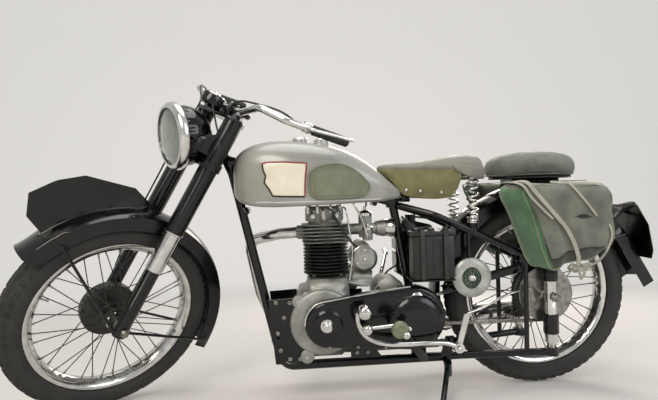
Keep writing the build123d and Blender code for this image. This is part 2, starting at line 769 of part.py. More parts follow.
with BuildPart() as primary_chaincase:
    side_hull(
        [(chaincase_front_x, crank_z, chaincase_front_radius), (clutch_x, clutch_z, chaincase_rear_radius)],
        chaincase_inner_y,
        chaincase_inner_y + chaincase_depth,
    )
    fillet(primary_chaincase.faces().sort_by(Axis.Y)[-1].edges(), 16)
    outer_y = chaincase_inner_y + chaincase_depth
    for x, z, radius, rise in ((chaincase_front_x + 4, crank_z, 52, 12), (clutch_x - 4, clutch_z - 8, 88, 26)):
        plane = Plane(origin=(x, outer_y - 2, z), x_dir=(1, 0, 0), z_dir=(0, 1, 0))
        slope_points = [(radius - 4, rise * 0.4), (radius * 0.8, rise * 0.75), (radius * 0.5, rise)]
        turned([(0, 0), (radius, 0)] + slope_points + [(0, rise + 4)], plane)

with BuildPart() as drive_chain:
    half = chain_height / 2
    loops = []
    for grow in (half, -half):
        with BuildSketch(Plane.XZ.offset(-(chain_y + chain_width / 2))) as loop:
            with Locations((clutch_x, clutch_z)):
                Circle(drive_sprocket_radius + grow)
            with Locations((0, wheel_radius)):
                Circle(wheel_sprocket_radius + half + grow)
            make_hull()
        loops.append(loop.sketch)
    extrude(loops[0], amount=chain_width)
    extrude(loops[1], amount=chain_width, mode=Mode.SUBTRACT)

with BuildPart() as chain_guard:
    slope = (wheel_radius + wheel_sprocket_radius - clutch_z - drive_sprocket_radius) / clutch_x
    def guard_line(x, lift):
        return (x, wheel_radius + wheel_sprocket_radius + 7 + lift - slope * x)
    slab([guard_line(352, 16), guard_line(352, 19), guard_line(30, 19), guard_line(30, 16)], 48, 74)
    slab([guard_line(352, -6), guard_line(352, 18), guard_line(30, 18), guard_line(30, -6)], 71.5, 74)
    rod((86, 73, guard_line(86, 11)[1]), (86, 103.1, guard_line(86, 11)[1]), 5)

# Fuel tank: X, half width, underside, top and shoulder radius of its sections

tank_sections = [
    (1034, 46, 700, 796, 30),
    (1004, 92, 664, 836, 60),
    (930, 124, 650, 862, 86),
    (800, 136, 650, 860, 92),
    (660, 120, 653, 826, 84),
    (545, 84, 657, 748, 44),
    (480, 48, 664, 694, 14),
]


def tank_form(grow, mode=Mode.ADD):
    """The tank's outer form, grown outwards on its sides and top."""
    faces = []
    for x, half_width, bottom, top, shoulder in tank_sections:
        with BuildSketch(Plane(origin=(x, 0, 0), x_dir=(0, 1, 0), z_dir=(1, 0, 0))) as section:
            w = half_width + grow
            h = top + grow - bottom
            with Locations((0, bottom + h / 2)):
                Rectangle(2 * w, h)
            fillet(section.vertices().group_by(Axis.Y)[-1], shoulder + grow / 2)
            fillet(section.vertices().group_by(Axis.Y)[0], 12)
        faces.append(section.sketch)
    loft(faces, mode=mode)


with BuildPart() as fuel_tank:
    tank_form(0)
    slab([(1110, 600), (1110, 850), (1010, 822), (470, 674), (470, 600)], -25, 25, mode=Mode.SUBTRACT)
    for x, y, rise in ((812, 46, 6), (742, 46, 2)):
        rod((x, y, 820), (x, y, 862 + rise), 26)

with BuildPart() as knee_grips:
    tank_form(9)
    with BuildSketch(Plane.XZ.offset(-200)) as pad:
        with BuildLine():
            Line((794, 694), (794, 752))
            ThreePointArc((794, 752), (700, 784), (592, 708))
            Polyline((592, 708), (604, 682), (626, 672), (772, 672), (794, 694))
        make_face()
    extrude(pad.sketch, amount=400, mode=Mode.INTERSECT)
    tank_form(clearance, mode=Mode.SUBTRACT)
    slab([(560, 600), (830, 600), (830, 900), (560, 900)], -70, 70, mode=Mode.SUBTRACT)

# Oil tank, battery and horn

with BuildPart() as oil_tank:
    slab([(336, oil_tank_base_z), (474, oil_tank_base_z), (474, 540), (440, 586), (336, 560)], -150, -80)
    fillet(oil_tank.edges().filter_by(Axis.Y), 16)
    rod((410, -112, 560), (410, -112, 600), 20)

with BuildPart() as battery:
    low = battery_base_z
    lid = battery_top_z - 14
    slab([(330, low), (466, low), (466, lid), (330, lid)], 80, 146)
    slab([(326, lid), (470, lid), (470, battery_top_z), (326, battery_top_z)], 78, 149)
    for x in (360, 436):
        slab([(x - 6, low), (x + 6, low), (x + 6, battery_top_z + 3), (x - 6, battery_top_z + 3)], 79, 151)

with BuildPart() as horn:
    horn_plane = Plane(origin=(horn_x, 84, horn_z), x_dir=(1, 0, 0), z_dir=(0, 1, 0))
    turned(
        [(0, 0), (34, 0), (50, 8), (horn_radius, 14), (horn_radius, 24), (50, 30), (36, 30), (33, 24), (0, 27)],
        horn_plane,
    )
    rod((horn_x, 108, horn_z), (horn_x, 122, horn_z), 9)

# Saddle, its springs and the pillion pad

with BuildPart() as saddle:
    with BuildSketch(Plane.XY.offset(640)) as plan:
        with BuildLine():
            ThreePointArc((520, 46), (554, 0), (520, -46))
            Line((520, -46), (400, -84))
            ThreePointArc((400, -84), (330, -122), (262, -saddle_half_width))
            ThreePointArc((262, -saddle_half_width), (212, 0), (262, saddle_half_width))
            ThreePointArc((262, saddle_half_width), (330, 122), (400, 84))
            Line((400, 84), (520, 46))
        make_face()
    extrude(plan.sketch, amount=200)
    side_outline = [
        (560, 763), (560, 776), (430, 785), (330, 806), (250, 808), (210, 796), (198, 762), (206, 722),
        (226, 722), (228, saddle_base_z), (286, saddle_base_z), (296, 676), (458, 668), (490, 757),
    ]
    with BuildSketch(Plane.XZ.offset(-200)) as profile:
        Polygon(*side_outline, align=None)
    extrude(profile.sketch, amount=400, mode=Mode.INTERSECT)

with BuildPart() as saddle_springs:
    for side in (-1, 1):
        outline = [(0, spring_seat_z), (spring_radius, spring_seat_z)]
        step = (saddle_base_z - clearance - spring_seat_z) / spring_turns
        for n in range(spring_turns):
            z = spring_seat_z + step * n
            outline += [(spring_radius, z + step * 0.4), (spring_core_radius, z + step * 0.55)]
            outline += [(spring_core_radius, z + step * 0.85), (spring_radius, z + step)]
        outline += [(0, saddle_base_z - clearance)]
        turned(outline, Plane(origin=(spring_x, side * spring_y, 0)))

with BuildPart() as pillion_pad:
    with BuildSketch(Plane.XY.offset(pillion_base_z)) as plan:
        with Locations((18, 0)):
            RectangleRounded(312, 236, 92)
    extrude(plan.sketch, amount=pillion_top_z - pillion_base_z)
    fillet(pillion_pad.faces().sort_by(Axis.Z)[-1].edges(), 26)
    fillet(pillion_pad.faces().sort_by(Axis.Z)[0].edges(), 14)

# Rear mudguard with its straight tail, stays and pillion bracket

rear_guard_start = -18
rear_guard_turn = 150
rear_tail_length = 182
with BuildPart() as rear_mudguard:
    revolve(
        guard_section(hub_centre, rear_guard_radius, rear_guard_half_width, rear_guard_start),
        axis=Axis(hub_centre, (0, -1, 0)),
        revolution_arc=rear_guard_turn - rear_guard_start,
    )
    tail = guard_section(hub_centre, rear_guard_radius, rear_guard_half_width, rear_guard_turn)
    extrude(tail, amount=rear_tail_length)
    slab([(280, 222), (420, 222), (420, 392), (280, 410)], 40, 90, mode=Mode.SUBTRACT)
    with Locations((6, 0, (690 + pillion_base_z - clearance) / 2)):
        Box(170, 90, pillion_base_z - clearance - 690)
    for side in (-1, 1):
        eye_z = upper_lug_top + clearance
        rod((0, side * plunger_spacing, eye_z), (0, side * plunger_spacing, eye_z + 5), 12)
        for angle in (118, 148):
            end = on_wheel(hub_centre, rear_guard_radius - guard_crown - 8, angle, side * (rear_guard_half_width - 1))
            rod((0, side * plunger_spacing, eye_z + 6.5), end, 6)
    rod((430, 0, 300), (rear_guard_radius - 8, 0, 300), 10)
    rod(seat_lug, (seat_tube_foot_x, 0, cradle_height), tube_radius + clearance, mode=Mode.SUBTRACT)

with BuildPart() as rear_number_plate:
    a = radians(rear_guard_turn)
    tail_direction = Vector(-sin(a), 0, cos(a))
    foot = Vector(*on_wheel(hub_centre, rear_guard_radius + clearance, rear_guard_turn, 0)) + tail_direction * 95
    plate_plane = Plane(origin=foot, x_dir=(0, 1, 0), z_dir=(-cos(plate_slope), 0, sin(plate_slope)))
    with BuildSketch(plate_plane) as plate:
        right_half = [(100, 0), (115, -30), (115, -120), (78, -186)]
        Polygon(*right_half, *[(-x, y) for x, y in reversed(right_half)], align=None)
    extrude(plate.sketch, amount=3)
    with BuildSketch(plate_plane.offset(3)) as lamp:
        with Locations((0, -168)):
            RectangleRounded(56, 44, 16)
    extrude(lamp.sketch, amount=34)
    arm_start = on_wheel(hub_centre, rear_guard_radius + 2 * clearance, 142, 0)
    arm_end = on_wheel(hub_centre, rear_guard_radius + 74, 142, 0)
    rod(arm_start, arm_end, 7)

# Panniers: a sagging bag on each side, joined by straps over the mudguard

with BuildPart() as panniers:
    bag = [(186, 694), (92, 432), (52, 432), (32, 450), (-62, 456), (-156, 528), (-128, 686)]
    for side in (-1, 1):
        y_bag = sorted((side * bag_inner_y, side * (bag_inner_y + bag_depth)))
        slab(bag, *y_bag)
    fillet(panniers.edges().filter_by(Axis.Y), 12)
    for x in (116, -104):
        slab([(x - 13, 700.5), (x + 13, 700.5), (x + 13, 703.5), (x - 13, 703.5)], -bag_inner_y - 20, bag_inner_y + 20)
        for side in (-1, 1):
            y_drop = sorted((side * (bag_inner_y + 16), side * (bag_inner_y + 20)))
            slab([(x - 13, 670), (x + 13, 670), (x + 13, 703.5), (x - 13, 703.5)], *y_drop)

# Footrests, brake pedal and kick starter

with BuildPart() as footrests:
    rod((446, -98, 158), (446, 152, 158), 9)
    for side, arm_y in ((1, 151), (-1, 96)):
        y_arm = sorted((side * arm_y, side * (arm_y + 10)))
        side_hull([(446, 158, 14), (534, 268, 12)], *y_arm)
        rod((534, side * (arm_y + 5), 268), (534, side * 262, 268), 16)

with BuildPart() as brake_pedal:
    pedal_y = 172
    rod((335, pedal_y - 8, 187), (335, pedal_y + 8, 187), 16)
    bent_tube(
        [(335, pedal_y, 187), (390, pedal_y + 4, 216), (560, pedal_y + 6, 224), (606, pedal_y + 8, 262),
         (614, pedal_y + 14, 330), (604, pedal_y + 22, 378)],
        [40, 40, 34, 34],
        7,
    )
    with Locations((602, pedal_y + 24, 384)):
        Box(34, 56, 9)
    side_hull([(335, 187, 12), (304, 290, 9)], pedal_y - 6, pedal_y)
    rod((304, pedal_y - 3, 290), (304, pedal_y - 18, 290), 5)
    bent_tube([(304, pedal_y - 14, 290), (134, 94.5, 331), (60, 94.5, 347)], 30, 4)
    rod((335, pedal_y - 20, 187), (335, pedal_y + 20, 187), 8 + clearance, mode=Mode.SUBTRACT)

with BuildPart() as kick_starter:
    rod((540, -104, 336), (540, -86.3, 336), 10)
    bent_tube([(540, -98, 336), (522, -108, 404), (496, -168, 452)], 20, 8)
    rod((496, -160, 452), (492, -218, 458), 9)

# Side stand, drawn from its pivot to the floor of the parked machine

with BuildPart() as side_stand:
    rod(stand_centre, stand_foot, stand_leg_radius)
    rod(
        stand_centre - stand_axis * stand_barrel_half,
        stand_centre + stand_axis * stand_barrel_half,
        stand_barrel_radius,
    )
    rod((stand_foot.X, stand_foot.Y, 0), stand_foot, stand_foot_radius)

# Every piece goes to its parked place

chassis_pieces = {
    "frame_front": frame_front.part,
    "frame_rear": frame_rear.part,
    "plungers": plungers.part,
    "rear_axle": rear_axle.part,
    "crankcase": crankcase.part,
    "cylinder": cylinder.part,
    "cylinder_head": cylinder_head.part,
    "magdyno": magdyno.part,
    "carburettor": carburettor.part,
    "exhaust": exhaust.part,
    "gearbox": gearbox.part,
    "primary_chaincase": primary_chaincase.part,
    "drive_chain": drive_chain.part,
    "chain_guard": chain_guard.part,
    "fuel_tank": fuel_tank.part,
    "knee_grips": knee_grips.part,
    "oil_tank": oil_tank.part,
    "battery": battery.part,
    "horn": horn.part,
    "saddle": saddle.part,
    "saddle_springs": saddle_springs.part,
    "pillion_pad": pillion_pad.part,
    "rear_mudguard": rear_mudguard.part,
    "rear_number_plate": rear_number_plate.part,
    "panniers": panniers.part,
    "footrests": footrests.part,
    "brake_pedal": brake_pedal.part,
    "kick_starter": kick_starter.part,
}
fork_pieces = {
    "fork_yokes": fork_yokes.part,
    "fork_shrouds": fork_shrouds.part,
    "fork_sleeves": fork_sleeves.part,
    "fork_sliders": fork_sliders.part,
    "front_axle": front_axle.part,
    "headlamp_shell": headlamp_shell.part,
    "headlamp_rim": headlamp_rim.part,
    "headlamp_lens": headlamp_lens.part,
    "handlebar": handlebar.part,
    "handlebar_grips": handlebar_grips.part,
    "front_mudguard": front_mudguard.part,
}
front_wheel_pieces = {"front_tyre": front_tyre, "front_rim": front_rim, "front_hub": front_hub.part}
rear_wheel_pieces = {"rear_tyre": rear_tyre, "rear_rim": rear_rim, "rear_hub": rear_hub.part}

placed = {"side_stand": side_stand.part}
for pieces, location in (
    (chassis_pieces, parked_location),
    (fork_pieces, fork_location),
    (front_wheel_pieces, fork_location),
    (rear_wheel_pieces, rear_wheel_location),
):
    for label, piece in pieces.items():
        placed[label] = piece.moved(location)

boxes = [piece.bounding_box() for piece in placed.values()]
x_middle = (min(b.min.X for b in boxes) + max(b.max.X for b in boxes)) / 2
y_middle = (min(b.min.Y for b in boxes) + max(b.max.Y for b in boxes)) / 2
z_base = min(b.min.Z for b in boxes)
to_origin = Location((-x_middle, -y_middle, -z_base))

os.makedirs("parts", exist_ok=True)
for label, piece in placed.items():
    finished = piece.moved(to_origin)
    finished.label = label
    export_step(finished, f"parts/{label}.step")
print("length", round(2 * (max(b.max.X for b in boxes) - x_middle)), "pitch", round(pitch, 3), "lift", round(lift, 2))
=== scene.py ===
# %% [markdown]
# # A vintage motorcycle, dressed for its portrait
# The machine's hard parts come from its CAD model as a fixed frame. This lesson gives each of them its
# finish, and makes what CAD left plain: tread, seat leather, canvas, chain links, screws and cables.
# Every object is in metres, in the same frame as the CAD: +X forward, +Y to the machine's left, +Z up.

# %% Load the frame and keep its size
import json
from math import atan2, cos, pi, radians, sin, sqrt

import bmesh
import bpy
from mathutils import Matrix, Vector


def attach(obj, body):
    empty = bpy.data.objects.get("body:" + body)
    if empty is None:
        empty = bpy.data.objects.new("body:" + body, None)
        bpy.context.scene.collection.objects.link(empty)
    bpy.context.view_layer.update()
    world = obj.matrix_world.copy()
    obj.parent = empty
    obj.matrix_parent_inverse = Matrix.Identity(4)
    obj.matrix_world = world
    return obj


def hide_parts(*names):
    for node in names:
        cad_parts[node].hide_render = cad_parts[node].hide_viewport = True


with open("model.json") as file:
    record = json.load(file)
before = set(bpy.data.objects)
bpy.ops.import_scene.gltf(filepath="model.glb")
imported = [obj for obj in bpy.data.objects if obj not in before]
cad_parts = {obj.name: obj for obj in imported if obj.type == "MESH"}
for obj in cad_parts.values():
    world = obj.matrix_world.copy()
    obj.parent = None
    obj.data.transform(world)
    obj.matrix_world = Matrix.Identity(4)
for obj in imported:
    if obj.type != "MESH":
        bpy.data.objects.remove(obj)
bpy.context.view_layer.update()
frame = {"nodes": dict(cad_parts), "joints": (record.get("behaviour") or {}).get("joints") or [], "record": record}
nodes = frame["nodes"]
joints = {joint["name"]: joint for joint in frame["joints"]}
body_of_node = {n: body for body, names in frame["record"]["behaviour"]["bodies"].items() for n in names}
slot_of_node = {part["node"]: part["material_slot"] for part in frame["record"]["subparts"]}

# %% [markdown]
# ## Two drawing boards
# The machine leans to its left on its side stand, with its fork on the left stop. Drawing a leaning
# saddle would be hard, so each piece is drawn upright in millimetres, and one matrix carries it to its
# place. The machine's board has the rear wheel's centre 325 mm above its origin. The fork's board has the
# front wheel's centre at its origin, and Z up along the legs.

# %% Matrices from the drawing boards to the room
LEAN, NOSE_DOWN, RAKE, LOCK = radians(7), radians(0.3819), radians(30), radians(38.5)
WHEEL_RADIUS, WHEELBASE, FORK_OFFSET = 325, 1450, 65
MM = 0.001
LEFT, UP = (0, 1, 0), (0, 0, 1)

turned_machine = Matrix.Rotation(-LEAN, 4, "X") @ Matrix.Rotation(NOSE_DOWN, 4, "Y")
rear_centre = Matrix.Translation(Vector(joints["rear_wheel_spin"]["pos_m"]))
REAR_WHEEL = rear_centre @ turned_machine @ Matrix.Scale(MM, 4)
MACHINE = REAR_WHEEL @ Matrix.Translation((0, 0, -WHEEL_RADIUS))
FORK = (
    MACHINE
    @ Matrix.Translation((WHEELBASE, 0, WHEEL_RADIUS))
    @ Matrix.Rotation(-RAKE, 4, "Y")
    @ Matrix.Translation((-FORK_OFFSET, 0, 0))
    @ Matrix.Rotation(LOCK, 4, "Z")
    @ Matrix.Translation((FORK_OFFSET, 0, 0))
)
miss = (FORK.translation - Vector(joints["front_wheel_spin"]["pos_m"])).length
print("front wheel is off by", miss, "m")


# %% [markdown]
# ## Colours and nodes
# A hex colour is written as a screen shows it, and Blender's shaders work in linear light, so one
# function turns the first into the second. A second small function adds a shader node, with its settings
# and links.

# %% Helpers for materials
def linear(code):
    """A #rrggbb colour as linear red, green, blue and alpha."""
    values = [int(code[i : i + 2], 16) / 255 for i in (1, 3, 5)]
    return [v / 12.92 if v <= 0.04045 else ((v + 0.055) / 1.055) ** 2.4 for v in values] + [1.0]


def add(tree, kind, settings=None, inputs=None):
    """A node of a kind, with its settings, and its inputs set or linked."""
    made = tree.nodes.new(kind)
    for name, value in (settings or {}).items():
        setattr(made, name, value)
    for name, value in (inputs or {}).items():
        if isinstance(value, bpy.types.NodeSocket):
            tree.links.new(value, made.inputs[name])
        else:
            made.inputs[name].default_value = value
    return made


def finish_of(name, roughness, metallic=0.0, **sockets):
    """A new material with a Principled shader, and its Object coordinates in metres."""
    material = bpy.data.materials.new(name)
    material.use_nodes = True
    tree = material.node_tree
    shader = tree.nodes["Principled BSDF"]
    shader.inputs["Roughness"].default_value = roughness
    shader.inputs["Metallic"].default_value = metallic
    for socket, value in sockets.items():
        shader.inputs[socket.replace("_", " ")].default_value = value
    place = add(tree, "ShaderNodeTexCoord").outputs["Object"]
    return material, tree, shader, place


def mottled(tree, shader, place, dark, light, size_mm, rough, detail=4.0):
    """Two colours and two roughnesses mixed by noise of a size in millimetres."""
    patches = {"Vector": place, "Scale": 1000 / size_mm, "Detail": detail}
    cloud = add(tree, "ShaderNodeTexNoise", None, patches).outputs["Fac"]
    share = add(tree, "ShaderNodeMapRange", None, {"Value": cloud, "From Min": 0.35, "From Max": 0.65})
    blend = add(tree, "ShaderNodeMix", {"data_type": "RGBA"}, {"Factor": share.outputs["Result"]})
    blend.inputs[6].default_value = linear(dark)
    blend.inputs[7].default_value = linear(light)
    tree.links.new(blend.outputs[2], shader.inputs["Base Color"])
    span = {"Value": cloud, "From Min": 0.3, "From Max": 0.7, "To Min": rough[0], "To Max": rough[1]}
    gloss = add(tree, "ShaderNodeMapRange", None, span)
    tree.links.new(gloss.outputs["Result"], shader.inputs["Roughness"])


def raised(tree, shader, height, depth_mm, strength=1.0):
    """A bump from a height of 0 to 1 that stands for a real depth."""
    relief = {"Height": height, "Distance": depth_mm * MM, "Strength": strength}
    bump = add(tree, "ShaderNodeBump", None, relief)
    tree.links.new(bump.outputs["Normal"], shader.inputs["Normal"])


def mottled_finish(
    name, roughness, dark, light, size_mm, rough, detail=4.0, metallic=0.0, grain=None, **sockets
):
    """A finish of two mottled colours. Its grain, if any, is (size, detail, depth, strength)."""
    material, tree, shader, place = finish_of(name, roughness, metallic, **sockets)
    mottled(tree, shader, place, dark, light, size_mm, rough, detail)
    if grain:
        grain_mm, grain_detail, depth_mm, strength = grain
        grit = {"Vector": place, "Scale": 1000 / grain_mm, "Detail": grain_detail}
        noise = add(tree, "ShaderNodeTexNoise", None, grit)
        raised(tree, shader, noise.outputs["Fac"], depth_mm, strength)
    return material


def plain_finish(name, roughness, code, **sockets):
    """One colour, for glass and for lines and cables a few millimetres wide."""
    return finish_of(name, roughness, Base_Color=linear(code), **sockets)[0]


# %% [markdown]
# ## Painted and plated metal
# The frame, guards and shells are stove enamel: black, glossy, with the faintest orange peel and a little
# dust. The tank is silver-grey cellulose, sprayed and polished by hand, so its gloss is softer. Chrome is
# a mirror with fine smears, and its roughness, not its colour, tells its age.

# %% Enamel, tank paint and chrome
# Orange peel is a ripple about 6 mm long and a twentieth of a millimetre deep
black_enamel = mottled_finish(
    "stove_enamel", 0.2, "#040405", "#0c0c0e", 90, (0.12, 0.26), grain=(6, 1.0, 0.05, 1.0),
    Coat_Weight=0.3, Coat_Roughness=0.06, Specular_IOR_Level=0.3,
)
tank_paint = mottled_finish(
    "cellulose_tank_paint", 0.28, "#8f8f88", "#9d9c95", 140, (0.24, 0.36), Coat_Weight=0.5,
    Coat_Roughness=0.12,
)
bright_chrome = mottled_finish("chrome_plate", 0.12, "#c4c3bf", "#dddcd8", 35, (0.06, 0.24), 6.0, 1.0)
plain_steel = mottled_finish("bright_steel", 0.35, "#77756f", "#a19f99", 18, (0.28, 0.5), 6.0, 1.0)

# %% [markdown]
# ## Cast metal
# The crankcase and gearbox are sand-cast aluminium, grey and slightly grainy, cleaned but not polished.
# The barrel and the head are cast iron painted black for its heat. The head's browner bloom near the port
# is not drawn.

# %% Cast aluminium and cast iron
# The sand leaves a grain of one to two millimetres
cast_alloy = mottled_finish(
    "sand_cast_aluminium", 0.5, "#85867f", "#a9aaa3", 45, (0.42, 0.62), 6.0, 0.75, (1.6, 2.0, 0.25, 0.6)
)
polished_alloy = mottled_finish(
    "polished_aluminium", 0.2, "#a5a6a2", "#c2c2bd", 30, (0.14, 0.3), 6.0, 1.0
)
hub_enamel = mottled_finish("satin_hub_enamel", 0.4, "#1d1d1d", "#35342f", 30, (0.34, 0.55), 6.0, 0.2)
cast_iron = mottled_finish(
    "black_cast_iron", 0.5, "#1b1b1a", "#33322f", 25, (0.42, 0.66), 6.0, 0.3, (1.2, 2.0, 0.3, 0.7)
)

# %% [markdown]
# ## Rubber, leather, cloth and glass
# Tyre rubber is charcoal, never black, mottled paler with dust. Seat leather has pores a millimetre or
# two apart, drawn here with a cell pattern whose edges sink. Canvas is two crossed threads: two waves at
# right angles, laid on the piece's own UV map, so that the weave follows the bag.

# %% Rubber and leather
tyre_rubber = mottled_finish(
    "tyre_rubber", 0.75, "#232322", "#353431", 60, (0.62, 0.85), 8.0, grain=(2.5, 3.0, 0.2, 0.5)
)
black_rubber = mottled_finish("moulded_rubber", 0.6, "#1f1f1e", "#2e2e2b", 40, (0.5, 0.7))


def leather(name, dark, light, pore_mm, rough):
    """Grained leather of two colours, with pores of a size."""
    material, tree, shader, place = finish_of(name, 0.5, Sheen_Weight=0.15, Sheen_Roughness=0.5)
    mottled(tree, shader, place, dark, light, 55, rough, 6.0)
    spacing = {"Vector": place, "Scale": 1000 / pore_mm}
    cells = add(
        tree, "ShaderNodeTexVoronoi", {"feature": "DISTANCE_TO_EDGE"}, spacing
    ).outputs["Distance"]
    pores = add(tree, "ShaderNodeMapRange", None, {"Value": cells, "From Max": 0.12, "To Max": 1.0})
    raised(tree, shader, pores.outputs["Result"], 0.35, 0.6)
    return material


saddle_leather = leather("saddle_leather", "#6b6960", "#858277", 2.2, (0.45, 0.62))
skirt_leather = leather("skirt_leather", "#57552f", "#77744a", 2.2, (0.45, 0.62))
pad_leather = leather("pad_leather", "#54594f", "#6d7167", 2.4, (0.45, 0.65))
grip_rubber = leather("knee_grip_rubber", "#6c7059", "#7c806a", 1.6, (0.55, 0.7))


# %% Canvas, battery case, glass and lamp parts
def canvas(name, dark, light):
    """Woven cotton on the piece's UV map, which is in metres."""
    material, tree, shader, place = finish_of(name, 0.9, Sheen_Weight=0.3, Sheen_Roughness=0.6)
    mottled(tree, shader, place, dark, light, 70, (0.82, 0.95), 8.0)
    sheet_place = add(tree, "ShaderNodeTexCoord").outputs["UV"]
    # A thread is 0.8 mm wide on the real bag; 2.4 mm is the finest that this picture shows
    thread_mm = 2.4
    ripple = {
        "Vector": sheet_place, "Scale": 1000 / thread_mm / (2 * pi), "Distortion": 0.6, "Detail": 1.0
    }
    threads = [
        add(tree, "ShaderNodeTexWave", {"bands_direction": direction}, ripple).outputs["Fac"]
        for direction in ("X", "Y")
    ]
    weave = add(tree, "ShaderNodeMath", {"operation": "MAXIMUM"})
    tree.links.new(threads[0], weave.inputs[0])
    tree.links.new(threads[1], weave.inputs[1])
    raised(tree, shader, weave.outputs["Value"], 0.5, 0.7)
    return material


bag_canvas = canvas("bag_canvas", "#4f5046", "#6f7064")
# Painted shade: the bag's canvas made darker, for its sideways faces low down
painted_shade_canvas = canvas("painted_shade_canvas", "#2b2c24", "#414236")
# Painted light: the green of the green stage light that falls on the bag's front wall
painted_green_light_canvas = canvas("painted_green_light_canvas", "#365c3a", "#52805a")
binding_canvas = canvas("binding_canvas", "#6f7a5c", "#8b9477")
strap_webbing = canvas("strap_webbing", "#8c8a7c", "#aaa899")

battery_case = mottled_finish("hard_rubber_case", 0.35, "#121212", "#21211f", 50, (0.3, 0.5))
horn_grey = mottled_finish("grey_horn_enamel", 0.35, "#a2a49f", "#bdbfb9", 30, (0.3, 0.42), metallic=0.4)
lens_glass = plain_finish("pressed_lens_glass", 0.04, "#f2f4f1", IOR=1.5, Transmission_Weight=1.0)
red_glass = plain_finish("red_lamp_glass", 0.12, "#7c0c10", IOR=1.5, Transmission_Weight=0.35)
panel_cream = mottled_finish("panel_enamel", 0.25, "#ddd6c0", "#e8e2cf", 60, (0.2, 0.3), Coat_Weight=0.4)
line_black = plain_finish("lining_black", 0.3, "#14130f")
line_red = plain_finish("lining_red", 0.3, "#8e2a1c")
line_silver = plain_finish("lining_silver", 0.3, "#c9cac4")
cable_black = plain_finish("cable_casing", 0.5, "#191917")
dial_white = plain_finish("dial_face", 0.4, "#d9d6c8")
print("made", len(bpy.data.materials), "materials")

# %% [markdown]
# ## From bmesh to a finished piece
# A piece is drawn in millimetres on one of the boards. `finish_piece` carries it to its place, points its
# faces outwards, shades it smooth except at sharp edges, and lets it ride on its body. CAD nodes come as
# loose triangles, so `refined` merges a copy, which then shades as smoothly as the real casting, and
# stands for the node.

# %% Helpers for pieces
FINISH_OF_SLOT = {
    "black_enamel": black_enamel,
    "tank_paint": tank_paint,
    "bright_chrome": bright_chrome,
    "plain_steel": plain_steel,
    "cast_alloy": cast_alloy,
    "polished_alloy": polished_alloy,
    "cast_iron": cast_iron,
    "tyre_rubber": tyre_rubber,
    "black_rubber": black_rubber,
    "knee_rubber": grip_rubber,
    "saddle_leather": saddle_leather,
    "pad_leather": pad_leather,
    "canvas": bag_canvas,
    "battery_case": battery_case,
    "grey_enamel": horn_grey,
    "lens_glass": lens_glass,
}


def finish_piece(name, bm, board, body, slot, material=None, crease=35, stands_for=()):
    """A bmesh drawn on a board, made an object in its place and riding on a body."""
    bmesh.ops.transform(bm, matrix=board, verts=bm.verts)
    bmesh.ops.remove_doubles(bm, verts=bm.verts, dist=0.00001)
    bmesh.ops.recalc_face_normals(bm, faces=bm.faces)
    mesh = bpy.data.meshes.new(name)
    bm.to_mesh(mesh)
    bm.free()
    mesh.shade_smooth()
    mesh.set_sharp_from_angle(angle=radians(crease))
    made = bpy.data.objects.new(name, mesh)
    bpy.context.scene.collection.objects.link(made)
    mesh.materials.append(material or FINISH_OF_SLOT[slot])
    if stands_for:
        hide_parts(*stands_for)
    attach(made, body)
    return made


def on_chassis(name, bm, slot, material=None, crease=35, stands_for=()):
    """A piece drawn on the machine's board, which rides on the chassis."""
    return finish_piece(name, bm, MACHINE, "chassis", slot, material, crease, stands_for)


def refined(node, material=None):
    """A merged and smoothly shaded copy that stands for a CAD node."""
    bm = bmesh.new()
    bm.from_mesh(nodes[node].data)
    body, slot = body_of_node[node], slot_of_node[node]
    made = finish_piece(node + "_smooth", bm, Matrix.Identity(4), body, slot, material, 35, (node,))
    made.modifiers.new("weighted", "WEIGHTED_NORMAL").keep_sharp = True


def soften(piece, levels):
    """A subdivision surface that rounds a piece off."""
    rounded = piece.modifiers.new("soften", "SUBSURF")
    rounded.levels = rounded.render_levels = levels


def around(count):
    """The angles of so many even steps round a circle."""
    return [2 * pi * k / count for k in range(count)]


def bar(bm, start, end, radius, sides=16, end_radius=None):
    """A straight round bar between two points."""
    start, end = Vector(start), Vector(end)
    run = end - start
    turn = run.to_track_quat("Z", "Y").to_matrix().to_4x4()
    place = Matrix.Translation((start + end) / 2) @ turn
    top = radius if end_radius is None else end_radius
    bmesh.ops.create_cone(
        bm, cap_ends=True, segments=sides, radius1=radius, radius2=top, depth=run.length, matrix=place
    )


def block(bm, centre, size, turn=None, bevel=0.0):
    """A box with its edges rounded."""
    made = bmesh.ops.create_cube(bm, size=1.0)["verts"]
    bmesh.ops.scale(bm, vec=size, verts=made)
    if bevel:
        edges = list({edge for vert in made for edge in vert.link_edges})
        rounding = {"offset": bevel, "segments": 2, "profile": 0.5, "affect": "EDGES", "material": -1}
        result = bmesh.ops.bevel(bm, geom=edges, **rounding)
        fresh = {vert for face in result["faces"] for vert in face.verts}
        made = list(fresh | {vert for vert in made if vert.is_valid})
    place = Matrix.Translation(centre) @ (turn or Matrix.Identity(4))
    bmesh.ops.transform(bm, matrix=place, verts=made)


def turned(bm, profile, centre, axis, steps=48):
    """A profile of (radius, height) points spun about an axis through a centre."""
    turn = Vector(axis).to_track_quat("Z", "Y").to_matrix().to_4x4()
    verts = [bm.verts.new((radius, 0, height)) for radius, height in profile]
    edges = [bm.edges.new(pair) for pair in zip(verts, verts[1:])]
    whole_turn = {"cent": (0, 0, 0), "axis": UP, "angle": 2 * pi, "steps": steps, "use_merge": True}
    bmesh.ops.spin(bm, geom=verts + edges, **whole_turn)
    # Every point that hangs together with the profile is carried to its place
    everything = set(verts)
    seen = list(verts)
    while seen:
        for edge in seen.pop().link_edges:
            for vert in edge.verts:
                if vert not in everything:
                    everything.add(vert)
                    seen.append(vert)
    bmesh.ops.transform(bm, matrix=Matrix.Translation(centre) @ turn, verts=list(everything))


